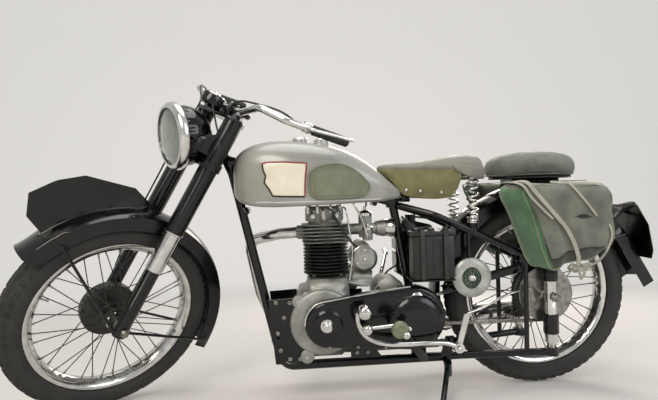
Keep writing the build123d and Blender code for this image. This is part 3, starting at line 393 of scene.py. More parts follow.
def screw(bm, centre, axis, across=9.0, height=4.0):
    """A hexagon head with a small domed end."""
    axis = Vector(axis).normalized()
    centre = Vector(centre)
    bar(bm, centre, centre + axis * height, across / 2, 6)
    bar(bm, centre + axis * height, centre + axis * (height + 1.5), across * 0.3, 10, across * 0.2)


def smooth_path(points, closed=False, samples=10):
    """Points along a smooth curve through the given ones."""
    points = [Vector(p) for p in points]
    found = []
    count = len(points)
    last = count if closed else count - 1
    for i in range(last):
        p0 = points[(i - 1) % count] if closed or i > 0 else points[0]
        p1, p2 = points[i], points[(i + 1) % count]
        p3 = points[(i + 2) % count] if closed or i + 2 < count else points[-1]
        for k in range(samples):
            t = k / samples
            point = 2 * p1 + (p2 - p0) * t
            point = point + (2 * p0 - 5 * p1 + 4 * p2 - p3) * t**2
            found.append(0.5 * (point + (3 * p1 - p0 - 3 * p2 + p3) * t**3))
    if not closed:
        found.append(points[-1])
    return found


def swept(bm, path, section, up=UP, closed=False):
    """A section of (across, out) points carried along a path, its rings joined by bridges."""
    rings = []
    count = len(path)
    for i, point in enumerate(path):
        ahead = path[(i + 1) % count] if closed or i + 1 < count else point
        behind = path[i - 1] if closed or i > 0 else point
        along = (ahead - behind).normalized()
        side = along.cross(Vector(up)).normalized()
        out = side.cross(along).normalized()
        verts = [bm.verts.new(point + side * a + out * b) for a, b in section]
        rings.append([bm.edges.new((verts[k], verts[(k + 1) % len(verts)])) for k in range(len(verts))])
    pairs = list(zip(rings, rings[1:])) + ([(rings[-1], rings[0])] if closed else [])
    for one, other in pairs:
        bmesh.ops.bridge_loops(bm, edges=one + other)
    if not closed:
        for ring in (rings[0], rings[-1]):
            bmesh.ops.contextual_create(bm, geom=ring)


def round_section(radius, sides=10):
    """A circle for a swept tube."""
    return [(radius * cos(a), radius * sin(a)) for a in around(sides)]


def tube(bm, points, radius, samples, sides=8):
    """A round tube along a smooth path through some points."""
    swept(bm, smooth_path(points, samples=samples), round_section(radius, sides))


def lofted(bm, sections):
    """Closed sections of equal counts of points, joined by bridges and closed at both ends."""
    rings = []
    for points in sections:
        verts = [bm.verts.new(p) for p in points]
        rings.append([bm.edges.new((verts[k], verts[(k + 1) % len(verts)])) for k in range(len(verts))])
    for one, other in zip(rings, rings[1:]):
        bmesh.ops.bridge_loops(bm, edges=one + other)
    for ring in (rings[0], rings[-1]):
        bmesh.ops.contextual_create(bm, geom=ring)


# %% Smooth copies of the CAD nodes that keep their own shape
SOFT_OR_REMADE = {
    "front_tyre", "rear_tyre", "saddle", "pillion_pad", "panniers", "drive_chain", "handlebar_grips",
    "saddle_springs", "battery", "knee_grips", "brake_pedal",
}
OWN_FINISH = {"front_hub": hub_enamel, "rear_hub": hub_enamel}
for node in nodes:
    if node not in SOFT_OR_REMADE:
        refined(node, material=OWN_FINISH.get(node))
print("smoothed", len(nodes) - len(SOFT_OR_REMADE), "nodes")

# %% [markdown]
# ## Tyres
# A tyre is one section spun about its axle. The real tread is cut by moulded grooves, so the spun mesh
# gets its grooves in the section, and single quads are then raised as blocks, staggered from row to row.
# That needs no list of vertices, and each block stays a few faces. Fine rings on the sidewall are steps
# of the same section.

# %% Half of the tyre's section, from the bead outwards: distance from the axle and from the middle
HALF_TYRE = [
    (243.2, 22), (256.6, 22.5), (256.8, 36), (262, 38.6), (266, 41.4), (268.5, 41.2), (270, 42.4),
    (278, 43.5), (286, 43.6), (293, 42), (295, 41.2), (296.5, 41.5), (299, 40), (304, 36), (311, 30.5),
    (313, 29.6), (316, 25), (319.2, 19), (319.2, 17.2), (321.2, 9.6), (321.2, 8.2), (321.9, 3),
]
TYRE_STEPS = 180


def degrees_about_axle(point):
    """The angle of a point about the axle, in degrees from 0 to 360."""
    return (atan2(point.z, point.x) * 180 / pi) % 360


def tyre(name, board, body, replaced, rows):
    """A tyre with raised blocks. Each row is a band of distances from the middle, the least distance
    from the axle, the steps of 2 degrees from one groove to the next, and the blocks' height."""
    bm = bmesh.new()
    outline = HALF_TYRE + [(r, -y) for r, y in reversed(HALF_TYRE)]
    verts = [bm.verts.new((r, y, 0)) for r, y in outline]
    edges = [bm.edges.new((verts[i], verts[(i + 1) % len(verts)])) for i in range(len(verts))]
    bmesh.ops.spin(
        bm, geom=verts + edges, cent=(0, 0, 0), axis=LEFT, angle=2 * pi, steps=TYRE_STEPS, use_merge=True
    )
    for low, high, nearest, spacing, height in rows:
        blocks = []
        for face in bm.faces:
            centre = face.calc_center_median()
            if low < abs(centre.y) < high and Vector((centre.x, centre.z)).length > nearest:
                stagger = spacing // 2 if centre.y > 0 else 0
                if (round((degrees_about_axle(centre) - 1) / 2) + stagger) % spacing:
                    blocks.append(face)
        bmesh.ops.recalc_face_normals(bm, faces=bm.faces)
        bmesh.ops.inset_individual(bm, faces=blocks, thickness=0.7, depth=height, use_even_offset=True)
    finish_piece(name, bm, board, body, "tyre_rubber", None, 28, (replaced,))
    print(name, "has", len(rows), "rows of blocks")


# %% A ribbed and lugged front tyre, and a blockier rear one
tyre("front_tyre_treaded", FORK, "front_wheel", "front_tyre", [
    (36, 40.8, 296, 3, 1.6), (30.7, 36, 300, 3, 2.2), (19.4, 25, 310, 5, 2.6), (9.9, 17, 310, 4, 2.4),
    (0, 3.1, 310, 400, 2.6),
])
tyre("rear_tyre_treaded", REAR_WHEEL, "rear_wheel", "rear_tyre", [
    (36, 40.8, 296, 4, 1.6), (30.7, 36, 300, 4, 2.2), (19.4, 25, 310, 3, 2.6), (9.9, 17, 310, 3, 2.6),
    (0, 3.1, 310, 3, 2.6),
])

# %% [markdown]
# ## Spoke nipples and valve
# Where a spoke meets the rim, a brass nipple nickelled to match pokes through its dimple. The nipples are
# short cones on the spokes' own lines, which CAD lays out with 18 spokes on each side of the hub.

# %% Nipples on both rims
SPOKES_A_SIDE, SPOKE_SWEEP, RIM_WELL, SPOKE_STAGGER = 18, 22, 227, 6


def nipples(name, board, body, hub_sides):
    """Spoke nipples, from the hub's flanges as flange radius, Y and start angle, and the valve's stem."""
    bm = bmesh.new()
    for flange_radius, flange_y, start in hub_sides:
        side = SPOKE_STAGGER if flange_y > 0 else -SPOKE_STAGGER
        for n in range(SPOKES_A_SIDE):
            a = radians(360 // SPOKES_A_SIDE * n + start)
            b = a + radians(SPOKE_SWEEP if n % 2 else -SPOKE_SWEEP)
            foot = Vector((flange_radius * cos(a), flange_y, flange_radius * sin(a)))
            head = Vector((RIM_WELL * cos(b), side, RIM_WELL * sin(b)))
            run = (head - foot).normalized()
            bar(bm, head - run * 13, head, 2.6, 8, 3.4)
    # The valve: its stem, and the dust cap on its end
    bar(bm, (206, 0, 0), (230, 0, 0), 3.2, 10)
    bar(bm, (202, 0, 0), (209, 0, 0), 4.4, 10)
    finish_piece(name, bm, board, body, "bright_chrome", plain_steel, 40)


nipples("front_spoke_nipples", FORK, "front_wheel", [(86, -33, 0), (38, 34.5, 10)])
nipples("rear_spoke_nipples", REAR_WHEEL, "rear_wheel", [(90, 26, 10), (38, -34.5, 0)])
print("72 nipples and two valve stems")

# %% [markdown]
# ## Drive chain
# A roller chain has a pitch of half an inch or five eighths. Its path is the belt line round two
# sprockets: two arcs and two straight runs. One plain link of two side plates and a roller is repeated
# along it, so it stays light.

# %% The chain's path and links
def belt_path(one, r_one, other, r_two, pitch):
    """Points a pitch apart on the belt line round two circles of the XZ plane."""
    run = Vector(other) - Vector(one)
    base = atan2(run.y, run.x)
    lean = atan2(sqrt(run.length**2 - (r_one - r_two) ** 2), r_one - r_two)
    points = []
    for centre, radius, start, end in (
        (one, r_one, base + lean, base - lean + 2 * pi),
        (other, r_two, base - lean, base + lean),
    ):
        for k in range(49):
            a = start + (end - start) * k / 48
            points.append(Vector((centre[0] + radius * cos(a), 0, centre[1] + radius * sin(a))))
    points.append(points[0].copy())
    lengths = [(b - a).length for a, b in zip(points, points[1:])]
    count = round(sum(lengths) / pitch / 2) * 2
    step = sum(lengths) / count
    found, i, walked = [], 0, 0.0
    for k in range(count):
        while walked + lengths[i] < k * step:
            walked += lengths[i]
            i += 1
        found.append(points[i].lerp(points[i + 1], (k * step - walked) / lengths[i]))
    return found


bm = bmesh.new()
CHAIN_Y, FIVE_EIGHTHS_INCH = 60, 15.875
joints_of_chain = belt_path((0, WHEEL_RADIUS), 95.5, (462, 275), 36, FIVE_EIGHTHS_INCH)
for i, point in enumerate(joints_of_chain):
    ahead = joints_of_chain[(i + 1) % len(joints_of_chain)]
    along = ahead - point
    turn = Matrix.Rotation(-atan2(along.z, along.x), 4, "Y")
    # Outer plates and inner plates take turns
    reach = 4.6 if i % 2 else 3.2
    for side in (-1, 1):
        middle = (point + ahead) / 2 + Vector((0, CHAIN_Y + side * reach, 0))
        block(bm, middle, (along.length + 8, 1.2, 9.5), turn)
    bar(bm, point + Vector((0, CHAIN_Y - 5.4, 0)), point + Vector((0, CHAIN_Y + 5.4, 0)), 3.6, 8)
on_chassis("roller_chain", bm, "plain_steel", None, 30, ("drive_chain",))
print("chain of", len(joints_of_chain), "links")

# %% [markdown]
# ## Saddle
# The saddle's top is one hide stretched over a padded pan: wide and raised behind, pinched at the thighs,
# with a small rolled nose. It is lofted from crowned sections, because stretched leather is a smooth
# loft, and a cushion's simulation would blow it up. Its sides carry olive skirts held by three rivets.

# %% Saddle top
SADDLE_SECTIONS = [
    # X, half width, height of the crown, height of the edge, and the underside
    (549, 16, 773, 767, 762), (540, 32, 778, 768, 759), (520, 46, 781, 770, 757),
    (490, 53, 783, 770, 756), (450, 66, 784, 769, 754), (410, 80, 787, 768, 752),
    (370, 98, 793, 768, 749), (330, 117, 800, 768, 747), (290, 128, 806, 767, 745),
    (255, 131, 808, 764, 743), (228, 124, 806, 758, 741), (212, 108, 799, 752, 739),
    (204, 80, 785, 750, 738),
]


def saddle_section(x, half, crown, edge, under):
    """A closed section: a crowned top, a rolled edge and a flat underside."""
    points = []
    for k in range(-10, 11):
        s = k / 10
        points.append((x, half * s, edge + (crown - edge) * (1 - abs(s) ** 2.6) ** 0.5))
    low = [(half - 1, (edge + under) / 2), (half * 0.94, under), (half * 0.6, under)]
    points += [(x, y, z) for y, z in low] + [(x, 0, under)] + [(x, -y, z) for y, z in reversed(low)]
    return points


bm = bmesh.new()
lofted(bm, [saddle_section(*row) for row in SADDLE_SECTIONS])
saddle_top = on_chassis("saddle_top", bm, "saddle_leather", None, 70, ("saddle",))
soften(saddle_top, 2)
print("saddle top with", len(saddle_top.data.polygons), "faces before subdivision")

# %% Skirts under the saddle: leather panels a few millimetres thick, bellied outwards
SKIRT_ROWS = [
    # X, half width at the top, top height, half width at the bottom, bottom height
    (549, 18, 766, 18, 756), (538, 33, 767, 33, 744), (522, 45, 768, 45, 731), (500, 51, 768, 51, 711),
    (488, 55, 767, 54, 690), (478, 58, 766, 56, 677), (464, 61, 765, 60, 670), (446, 67, 764, 66, 665),
    (425, 74, 763, 74, 661), (400, 83, 762, 84, 658), (370, 96, 760, 97, 657), (346, 108, 759, 107, 658),
    (326, 117, 758, 115, 664), (312, 122, 757, 119, 678), (302, 125, 757, 123, 700),
    (294, 126, 757, 125, 724),
]
for side, label in ((-1, "right"), (1, "left")):
    bm = bmesh.new()
    columns = []
    for x, top_y, top_z, low_y, low_z in SKIRT_ROWS:
        column = []
        for k in range(9):
            t = k / 8
            belly = 5 * sin(pi * t)
            y = side * (top_y - 3 + (low_y - top_y) * t + belly)
            column.append(bm.verts.new((x, y, top_z + (low_z - top_z) * t)))
        columns.append([bm.edges.new(pair) for pair in zip(column, column[1:])])
    for one, other in zip(columns, columns[1:]):
        bmesh.ops.bridge_loops(bm, edges=one + other)
    bmesh.ops.recalc_face_normals(bm, faces=bm.faces)
    bmesh.ops.solidify(bm, geom=bm.faces[:], thickness=3.5)
    skirt = on_chassis("saddle_skirt_" + label, bm, "saddle_leather", skirt_leather, 60)
    soften(skirt, 2)

# %% The rolled drop round the saddle's back
bm = bmesh.new()
drop = [
    (322, 120, 747), (300, 127, 745), (275, 132, 743), (250, 131, 742), (230, 123, 741), (214, 104, 740),
    (205, 70, 740), (202, 30, 740),
]
drop += [(x, -y, z) for x, y, z in reversed(drop)]
path = smooth_path(drop, samples=6)
sections = []
WIDEST_X, DROP_TOP = 290, 22
for i, point in enumerate(path):
    # The panel starts as a narrow tongue on each side and is full behind
    share = 0.25 + 0.75 * min(1.0, i / 16, (len(path) - 1 - i) / 16) ** 0.7
    away = Vector((min(0, point.x - WIDEST_X), point.y, 0)).normalized()
    roll = [(-3, 0), (3, 0), (5.5, 14), (6, 30), (3.5, 43), (-3.5, 43)]
    sections.append([point + away * a + Vector((0, 0, DROP_TOP - fall * share)) for a, fall in roll])
lofted(bm, sections)
drop_panel = on_chassis("saddle_drop", bm, "saddle_leather", None, 60)
soften(drop_panel, 1)

# %% Rivets, the saddle's frame bar and its nose bracket
bm = bmesh.new()
for side in (-1, 1):
    for x, y, z in ((463, 61, 689), (420, 77, 685), (356, 104, 679)):
        bar(bm, (x, side * (y - 4), z), (x, side * (y + 4.5), z), 5.5, 16)
        bar(bm, (x, side * (y + 4.5), z), (x, side * (y + 7), z), 5.5, 16, 2.4)
on_chassis("saddle_rivets", bm, "bright_chrome", None, 30)
bm = bmesh.new()
rail = [
    (520, 0, 752), (505, 30, 750), (455, 52, 748), (380, 78, 744), (310, 100, 740), (262, 104, 737),
    (236, 84, 736),
]
loop = rail + [(230, 0, 736)] + [(x, -y, z) for x, y, z in reversed(rail[1:])]
swept(bm, smooth_path(loop, closed=True, samples=6), round_section(6.5), closed=True)
for side in (-1, 1):
    tube(
        bm, [(463, side * 8, 664), (470, side * 9, 700), (500, side * 9, 738), (516, side * 8, 752)], 6,
        10, 10,
    )
bar(bm, (463, -16, 664), (463, 16, 664), 8)
SPRING_X, SPRING_Y = 250, 98
for side in (-1, 1):
    bar(bm, (SPRING_X, side * SPRING_Y, 730), (SPRING_X, side * SPRING_Y, 741.8), 14, 24)
on_chassis("saddle_frame", bm, "black_enamel", None, 40)
print("rivets, frame and nose bracket")

# %% [markdown]
# ## Saddle springs
# The saddle rides on two bare coil springs behind. CAD keeps them as turned stubs. Here each is a real
# helix of round wire, barrelled in its middle, with its end turns lying flat on the seats.

# %% Helical springs
def spring_path(x, y, low, high, turns, radius, barrel):
    """Points of a helix with closed ends and a wider middle."""
    points = []
    steps = int(turns * 18)
    for k in range(steps + 1):
        t = k / steps
        rise = t - 0.07 * sin(2 * pi * t)
        a = 2 * pi * turns * t
        r = radius + barrel * sin(pi * t)
        points.append(Vector((x + r * cos(a), y + r * sin(a), low + (high - low) * min(max(rise, 0), 1))))
    return points


bm = bmesh.new()
for side in (-1, 1):
    y = side * SPRING_Y
    swept(bm, spring_path(SPRING_X, y, 581, 733, 8, 15.5, 2.5), round_section(4.3, 8))
    bar(bm, (SPRING_X, y, 576), (SPRING_X, y, 579), 20, 28)
    bar(bm, (SPRING_X, y, 579), (SPRING_X, y, 600), 9, 20, 7)
on_chassis("coil_springs", bm, "plain_steel", bright_chrome, 50, ("saddle_springs",))
print("two coil springs")

# %% [markdown]
# ## Pillion pad
# The pillion pad is a stuffed cushion, so it gets the cloth treatment: a slightly small oval block is
# remeshed to even quads and blown up by pressure from inside for 20 frames, with no point allowed to move
# more than 9 mm. Its piping comes after, laid where the finished cushion is widest.

# %% A cushion blown up by cloth simulation
def blown(name, bm, board, cap_mm, voxel_mm, flat_below):
    """A closed mesh remeshed and swelled as cloth, no point by more than a cap, and returned as a bmesh."""
    bmesh.ops.transform(bm, matrix=board, verts=bm.verts)
    bmesh.ops.recalc_face_normals(bm, faces=bm.faces)
    mesh = bpy.data.meshes.new(name)
    bm.to_mesh(mesh)
    bm.free()
    shape = bpy.data.objects.new(name, mesh)
    bpy.context.scene.collection.objects.link(shape)
    bpy.context.view_layer.objects.active = shape
    remesh = shape.modifiers.new("remesh", "REMESH")
    remesh.mode = "VOXEL"
    remesh.voxel_size = voxel_mm * MM
    graph = bpy.context.evaluated_depsgraph_get()
    start = bpy.data.meshes.new_from_object(shape.evaluated_get(graph))
    shape.modifiers.clear()
    shape.data = start
    cloth = shape.modifiers.new("cloth", "CLOTH")
    cloth.settings.use_pressure = True
    cloth.settings.uniform_pressure_force = 4.0
    cloth.settings.effector_weights.gravity = 0.0
    cloth.settings.quality = 5
    cloth.settings.tension_stiffness = cloth.settings.compression_stiffness = 15
    for number in range(1, 21):
        bpy.context.scene.frame_set(number)
    graph = bpy.context.evaluated_depsgraph_get()
    swelled = bpy.data.meshes.new_from_object(shape.evaluated_get(graph))
    for before, after in zip(start.vertices, swelled.vertices):
        move = after.co - before.co
        if move.length > cap_mm * MM:
            after.co = before.co + move.normalized() * cap_mm * MM
    shape.modifiers.clear()
    shape.data = swelled
    done = bmesh.new()
    done.from_mesh(shape.data)
    bpy.data.objects.remove(shape)
    bpy.context.scene.frame_set(1)
    bmesh.ops.transform(done, matrix=board.inverted(), verts=done.verts)
    for vert in done.verts:
        vert.co.z = max(vert.co.z, flat_below)
    every_way = {"use_axis_x": True, "use_axis_y": True, "use_axis_z": True}
    for _ in range(3):
        bmesh.ops.smooth_vert(done, verts=done.verts, factor=0.5, **every_way)
    return done


def oval(x, half_x, half_y, z):
    """A rounded oval outline at a height, a little squarer than an ellipse."""
    points = []
    for a in around(64):
        reach_x = abs(cos(a)) ** 0.8 * (1 if cos(a) > 0 else -1)
        reach_y = abs(sin(a)) ** 0.8 * (1 if sin(a) > 0 else -1)
        points.append((x + half_x * reach_x, half_y * reach_y, z))
    return points


bm = bmesh.new()
PAD_X, PIPING_Z = 6, 730
# Half length, half width and height of each layer
PAD_LAYERS = [
    (136, 92, 722), (148, 104, 727), (153, 110, 742), (152, 109, 762), (145, 102, 781), (126, 86, 794),
    (92, 58, 802), (34, 20, 806),
]
lofted(bm, [oval(PAD_X, *layer) for layer in PAD_LAYERS])
pad = blown("pad_shape", bm, MACHINE, 9, 6, 718)
print("the pad swelled to", len(pad.verts), "points")
pillion = on_chassis("pillion_cushion", pad, "pad_leather", None, 80, ("pillion_pad",))
soften(pillion, 1)

# %% Piping, base board and its ribbed rubber seat
low_points = [MACHINE.inverted() @ v.co for v in pillion.data.vertices]
low_points = [p for p in low_points if abs(p.z - PIPING_Z) < 4]
piping = max(p.x for p in low_points) - PAD_X, max(p.y for p in low_points)
print("the cushion is", [round(v) for v in piping], "mm from its middle where the piping goes")
bm = bmesh.new()
swept(bm, [Vector(p) for p in oval(PAD_X, *piping, PIPING_Z)], round_section(2.2, 8), closed=True)
on_chassis("pillion_piping", bm, "pad_leather", None, 60)
bm = bmesh.new()
board_layers = ((134, 94, 715.9), (140, 98, 718), (140, 98, 722), (136, 96, 724))
lofted(bm, [oval(PAD_X, *layer) for layer in board_layers])
on_chassis("pillion_board", bm, "black_enamel", None, 40)
bm = bmesh.new()
for k in range(17):
    block(bm, (-74 + 10 * k, 0, 702), (6, 100, 24), None, 2)
on_chassis("pillion_rubber", bm, "black_rubber", None, 40)
print("pad trimmed")

# %% [markdown]
# ## Canvas panniers
# Each pannier is a soft bag that hangs from straps over the mudguard: flat against the frame, full in its
# middle and slack below. It is lofted from side-view outlines that shrink and crown outwards, then given
# slow waves for its sag and creases. The front wall is a gusset, its canvas painted green as green stage light,
# and the faces are a grey-brown cloth bleached by the sun, painted darker low down as shade.

# %% The bag's shell
BAG_OUTLINE = [
    (178, 690), (150, 596), (118, 506), (88, 440), (52, 434), (20, 452), (-62, 458), (-112, 490),
    (-150, 530), (-140, 610), (-126, 680), (20, 694),
]
# How far out each outline lies, and how much it shrinks towards the bag's middle
BAG_LAYERS = [
    (0, 0.93), (4, 0.97), (22, 1.0), (60, 1.0), (98, 0.985), (116, 0.955), (124, 0.9), (127, 0.78),
    (129, 0.5),
]
# The bags' backs, in millimetres from the machine's middle, and the point that the outlines shrink about
BAG_BACK, MIDDLE_X, MIDDLE_Z = 130.4, 20, 572


def bag_ring(out, share):
    """One layer of the bag: the outline shrunk about its middle, with slow waves."""
    ring = []
    for point in smooth_path([(x, 0, z) for x, z in BAG_OUTLINE], closed=True, samples=6):
        x = MIDDLE_X + (point.x - MIDDLE_X) * share
        z = MIDDLE_Z + (point.z - MIDDLE_Z) * share
        x -= 36 * max(0.0, (x - MIDDLE_X) / 150) * (out / 128) ** 1.2
        low = max(0.0, (560 - z) / 120)
        wave = 3.2 * sin(x / 31 + out / 17) * sin(z / 43 + 0.7) + 2.4 * sin(x / 13 - z / 29 + out / 9)
        fold = 1.6 * sin(x / 9 + z / 23) * low
        face = out > 60
        x += 0.35 * wave * (out > 10)
        ring.append((x, out - 1.2 * abs(wave) * face - fold, z + 0.5 * wave - 3 * low * face))
    return ring


def bag_shell(side):
    """A closed shell of one bag on the machine's board."""
    bm = bmesh.new()
    rings = [bag_ring(*layer) for layer in BAG_LAYERS]
    lofted(bm, [[(x, side * (BAG_BACK + out), z) for x, out, z in ring] for ring in rings])
    for cap in [face for face in bm.faces if len(face.verts) > 4]:
        bmesh.ops.inset_individual(bm, faces=[cap], thickness=18, depth=0)
    bmesh.ops.recalc_face_normals(bm, faces=bm.faces)
    return bm


def lay_weave(bm):
    """A UV map in metres: faces by X and Z, gussets by the way round the bag and Y."""
    uv = bm.loops.layers.uv.new("weave")
    for face in bm.faces:
        for loop in face.loops:
            x, y, z = loop.vert.co
            if abs(face.normal.y) > 0.55:
                loop[uv].uv = (x * MM, z * MM)
            elif abs(face.normal.x) > abs(face.normal.z):
                loop[uv].uv = (y * MM, z * MM)
            else:
                loop[uv].uv = (x * MM, y * MM)


def lay_strap_weave(bm, across):
    """A UV map in metres for straps: X, and one other coordinate by its number."""
    uv = bm.loops.layers.uv.new("weave")
    for face in bm.faces:
        for loop in face.loops:
            loop[uv].uv = (loop.vert.co.x * MM, loop.vert.co[across] * MM)


for side, label in ((1, "left"), (-1, "right")):
    bm = bag_shell(side)
    lay_weave(bm)
    for face in bm.faces:
        height = face.calc_center_median().z
        # Painted light: faces of the front wall take the canvas painted with the green stage light
        front = face.normal.x > 0.35 and abs(face.normal.y) < 0.9 and height < 684
        # Painted shade: sideways faces low on the bag take the darker canvas
        painted_shade_face = abs(face.normal.y) > 0.5 and height < 520
        face.material_index = 1 if front else 2 if painted_shade_face else 0
    bag = on_chassis("pannier_" + label, bm, "canvas", bag_canvas, 80, ("panniers",))
    bag.data.materials.append(painted_green_light_canvas)
    bag.data.materials.append(painted_shade_canvas)
    soften(bag, 1)
print("two bags")

# %% [markdown]
# ## Flaps and binding
# A flap covers each bag's mouth: one sheet that starts behind, runs over the top and hangs down the outer
# face. Its lower hem is cut in a curve, and the bag's cloth below it is painted darker as shade. The sheet
# is a grid bridged row by row, then given its thickness.

# %% Flap sheets
def eased(t, start, end):
    """A smooth step from 0 at the start to 1 at the end."""
    s = min(1.0, max(0.0, (t - start) / (end - start)))
    return s * s * (3 - 2 * s)


def flap_sheet(side):
    """A flap drawn from its hinge over the top and down the face."""
    bm = bmesh.new()
    columns = []
    for i in range(33):
        t = i / 32
        x, hem_x = 152 - 272 * t, 72 - 196 * t
        top = 697 - 12 * t
        hem = 467 + 27 * eased(t, 0.08, 0.3) + 8 * eased(t, 0.3, 0.9) + 2 * sin(14 * t)
        ripple = 2.2 * sin(x / 15) + 1.4 * sin(x / 7.5 + 1)
        line = [
            (2, top - 1), (30, top + 3.5), (70, top + 4.5), (104, top + 2), (122, top - 6),
            (131, top - 22),
        ]
        drop = top - 22 - hem
        for k in range(1, 11):
            u = k / 10
            line.append((131 + 3.5 * sin(pi * u) + ripple * u * 0.7 + 1.5 * u, top - 22 - drop * u))
        fall = [max(0.0, (top - z) / (top - hem)) for out, z in line]
        column = [
            bm.verts.new((x + (hem_x - x) * share, side * (BAG_BACK + out), z))
            for (out, z), share in zip(line, fall)
        ]
        columns.append([bm.edges.new(pair) for pair in zip(column, column[1:])])
    for one, other in zip(columns, columns[1:]):
        bmesh.ops.bridge_loops(bm, edges=one + other)
    bmesh.ops.recalc_face_normals(bm, faces=bm.faces)
    area = sum(face.calc_area() for face in bm.faces) * MM * MM
    return bm, area


for side, label in ((1, "left"), (-1, "right")):
    bm, area = flap_sheet(side)
    lay_weave(bm)
    flap = on_chassis("pannier_flap_" + label, bm, "canvas", bag_canvas, 80)
    thick = flap.modifiers.new("cloth", "SOLIDIFY")
    thick.thickness = 2.2 * MM
    thick.offset = 0
    soften(flap, 1)
    print("flap", label, "covers", round(area, 4), "square metres")

# %% [markdown]
# ## Straps and cord
# Two pale webbing straps come over the mudguard in front and behind, run down across the flap and meet in
# a knot below it. Webbing is drawn directly, as a flat section swept along a path laid on the cloth.

# %% Webbing straps, tabs and the knot
def webbing(bm, points, width, thick, up):
    """A flat strap of webbing along a smooth path."""
    half, t = width / 2, thick / 2
    section = [(-half, -t), (0, -t), (half, -t), (half, t), (0, t), (-half, t)]
    swept(bm, smooth_path(points, samples=8), section, up)


STRAP_RUNS = [
    # Width, and the points of X, distance out from the bag's back, and Z
    (13, [
        (146, 0, 706), (146, 60, 707), (136, 116, 702), (120, 134, 674), (70, 139, 613), (32, 140.5, 566),
        (6, 140, 520), (-12, 134, 470), (-16, 124, 444),
    ]),
    (7, [
        (158, 10, 704), (164, 80, 704), (152, 124, 692), (134, 137, 657), (100, 140.5, 620),
        (71, 141.5, 591),
    ]),
    (7, [
        (-12, 0, 700), (-6, 70, 701), (4, 124, 694), (-26, 138, 652), (-48, 139.5, 624), (-69, 140, 595),
    ]),
    (6, [
        (-110, 137, 567), (-117, 139, 544), (-115, 138, 521), (-100, 132, 482), (-78, 122, 452),
        (-46, 114, 440),
    ]),
    (7, [(60, 112, 702), (20, 118, 699), (-40, 120, 696), (-104, 118, 690)]),
]
STRAP_THICK, KNOT_OUT = 2.6, 246
for side, label in ((1, "left"), (-1, "right")):
    bm = bmesh.new()
    for width, run in STRAP_RUNS:
        points = [(x, side * (BAG_BACK + out), z) for x, out, z in run]
        webbing(bm, points, width, STRAP_THICK, (0, side, 0.35))
    # The knot: five turns of the strap round each other, and its two ends
    for k, (x, z) in enumerate(((-2, 439), (-14, 434), (-27, 438), (-40, 435), (-52, 439))):
        knot = [
            Vector((x + 11 * cos(a), side * (KNOT_OUT + 4 * sin(a * 2 + k)), z + (8 + k % 2) * sin(a)))
            for a in around(14)
        ]
        swept(bm, knot, round_section(4.6, 8), (0, side, 0.2), closed=True)
    for x, end_x in ((-18, -28.4), (-34, -26.8)):
        points = [
            (x, side * KNOT_OUT, 436), (x - 6, side * (KNOT_OUT + 3), 420),
            (end_x, side * (KNOT_OUT + 1), 400),
        ]
        webbing(bm, points, 8, 2, (0, side, 0.2))
    bmesh.ops.recalc_face_normals(bm, faces=bm.faces)
    lay_strap_weave(bm, 2)
    on_chassis("pannier_straps_" + label, bm, "canvas", strap_webbing, 50)
bm = bmesh.new()
for x in (140, -104):
    points = [(x, y, 704.5 + 0.5 * cos(y / 60)) for y in range(-148, 149, 37)]
    webbing(bm, points, 26, STRAP_THICK, UP)
lay_strap_weave(bm, 1)
on_chassis("pannier_cross_straps", bm, "canvas", strap_webbing, 50)

# %% Binding along the gusset's edges, and a black block of painted shade in the pocket's slit
bm = bmesh.new()
for side in (-1, 1):
    for out, share in ((22, 1.002), (116, 0.958)):
        ring = [Vector((x, side * (BAG_BACK + o), z)) for x, o, z in bag_ring(out, share)]
        swept(bm, ring, round_section(2.6, 6), (0, side, 0.1), closed=True)
on_chassis("pannier_binding", bm, "canvas", binding_canvas, 60)
bm = bmesh.new()
for side in (-1, 1):
    # A black block in a lens-shaped opening in the flap, painted shade for the gap, with a turned lip over it
    mouth = [(-4, 596), (-20, 602), (-38, 600), (-52, 594), (-38, 590.5), (-20, 590.5)]
    lofted(bm, [[(x, side * out, z) for x, z in mouth] for out in (265.5, 269.4)])
on_chassis("pannier_slit_painted_shade", bm, "canvas", line_black, 60)
bm = bmesh.new()
for side in (-1, 1):
    lip = [Vector((x, side * 269.2, z)) for x, z in ((0, 596), (-20, 604), (-38, 602), (-56, 594))]
    swept(bm, lip, round_section(1.8, 6), (0, side, 0.2))
on_chassis("pannier_slit_lips", bm, "canvas", bag_canvas, 60)
print("straps and binding")

# %% [markdown]
# ## Tank: panels, lining and rubbers
# Each side of the tank has a blank cream panel in the shape of the photographed one, edged with a dark
# and a red line, and a round-nosed rubber for the rider's knee. They are thin pieces pressed on the tank:
# each point looks for the tank's skin straight in from the side, and stands a fraction of a millimetre
# off it.

# %% Find the tank's skin
from mathutils.bvhtree import BVHTree

bm = bmesh.new()
bm.from_mesh(nodes["fuel_tank"].data)
bmesh.ops.transform(bm, matrix=MACHINE.inverted(), verts=bm.verts)
tank_skin = BVHTree.FromBMesh(bm)
bm.free()


def on_tank(x, z, side, lift):
    """The point of the tank's side at X and Z, lifted off it by some millimetres."""
    hit, normal = tank_skin.ray_cast(Vector((x, side * 400, z)), Vector((0, -side, 0)))[:2]
    if hit is None:
        hit, normal = tank_skin.find_nearest(Vector((x, side * 100, z)))[:2]
    out = normal if normal.y * side > 0 else -normal
    return hit + out * lift


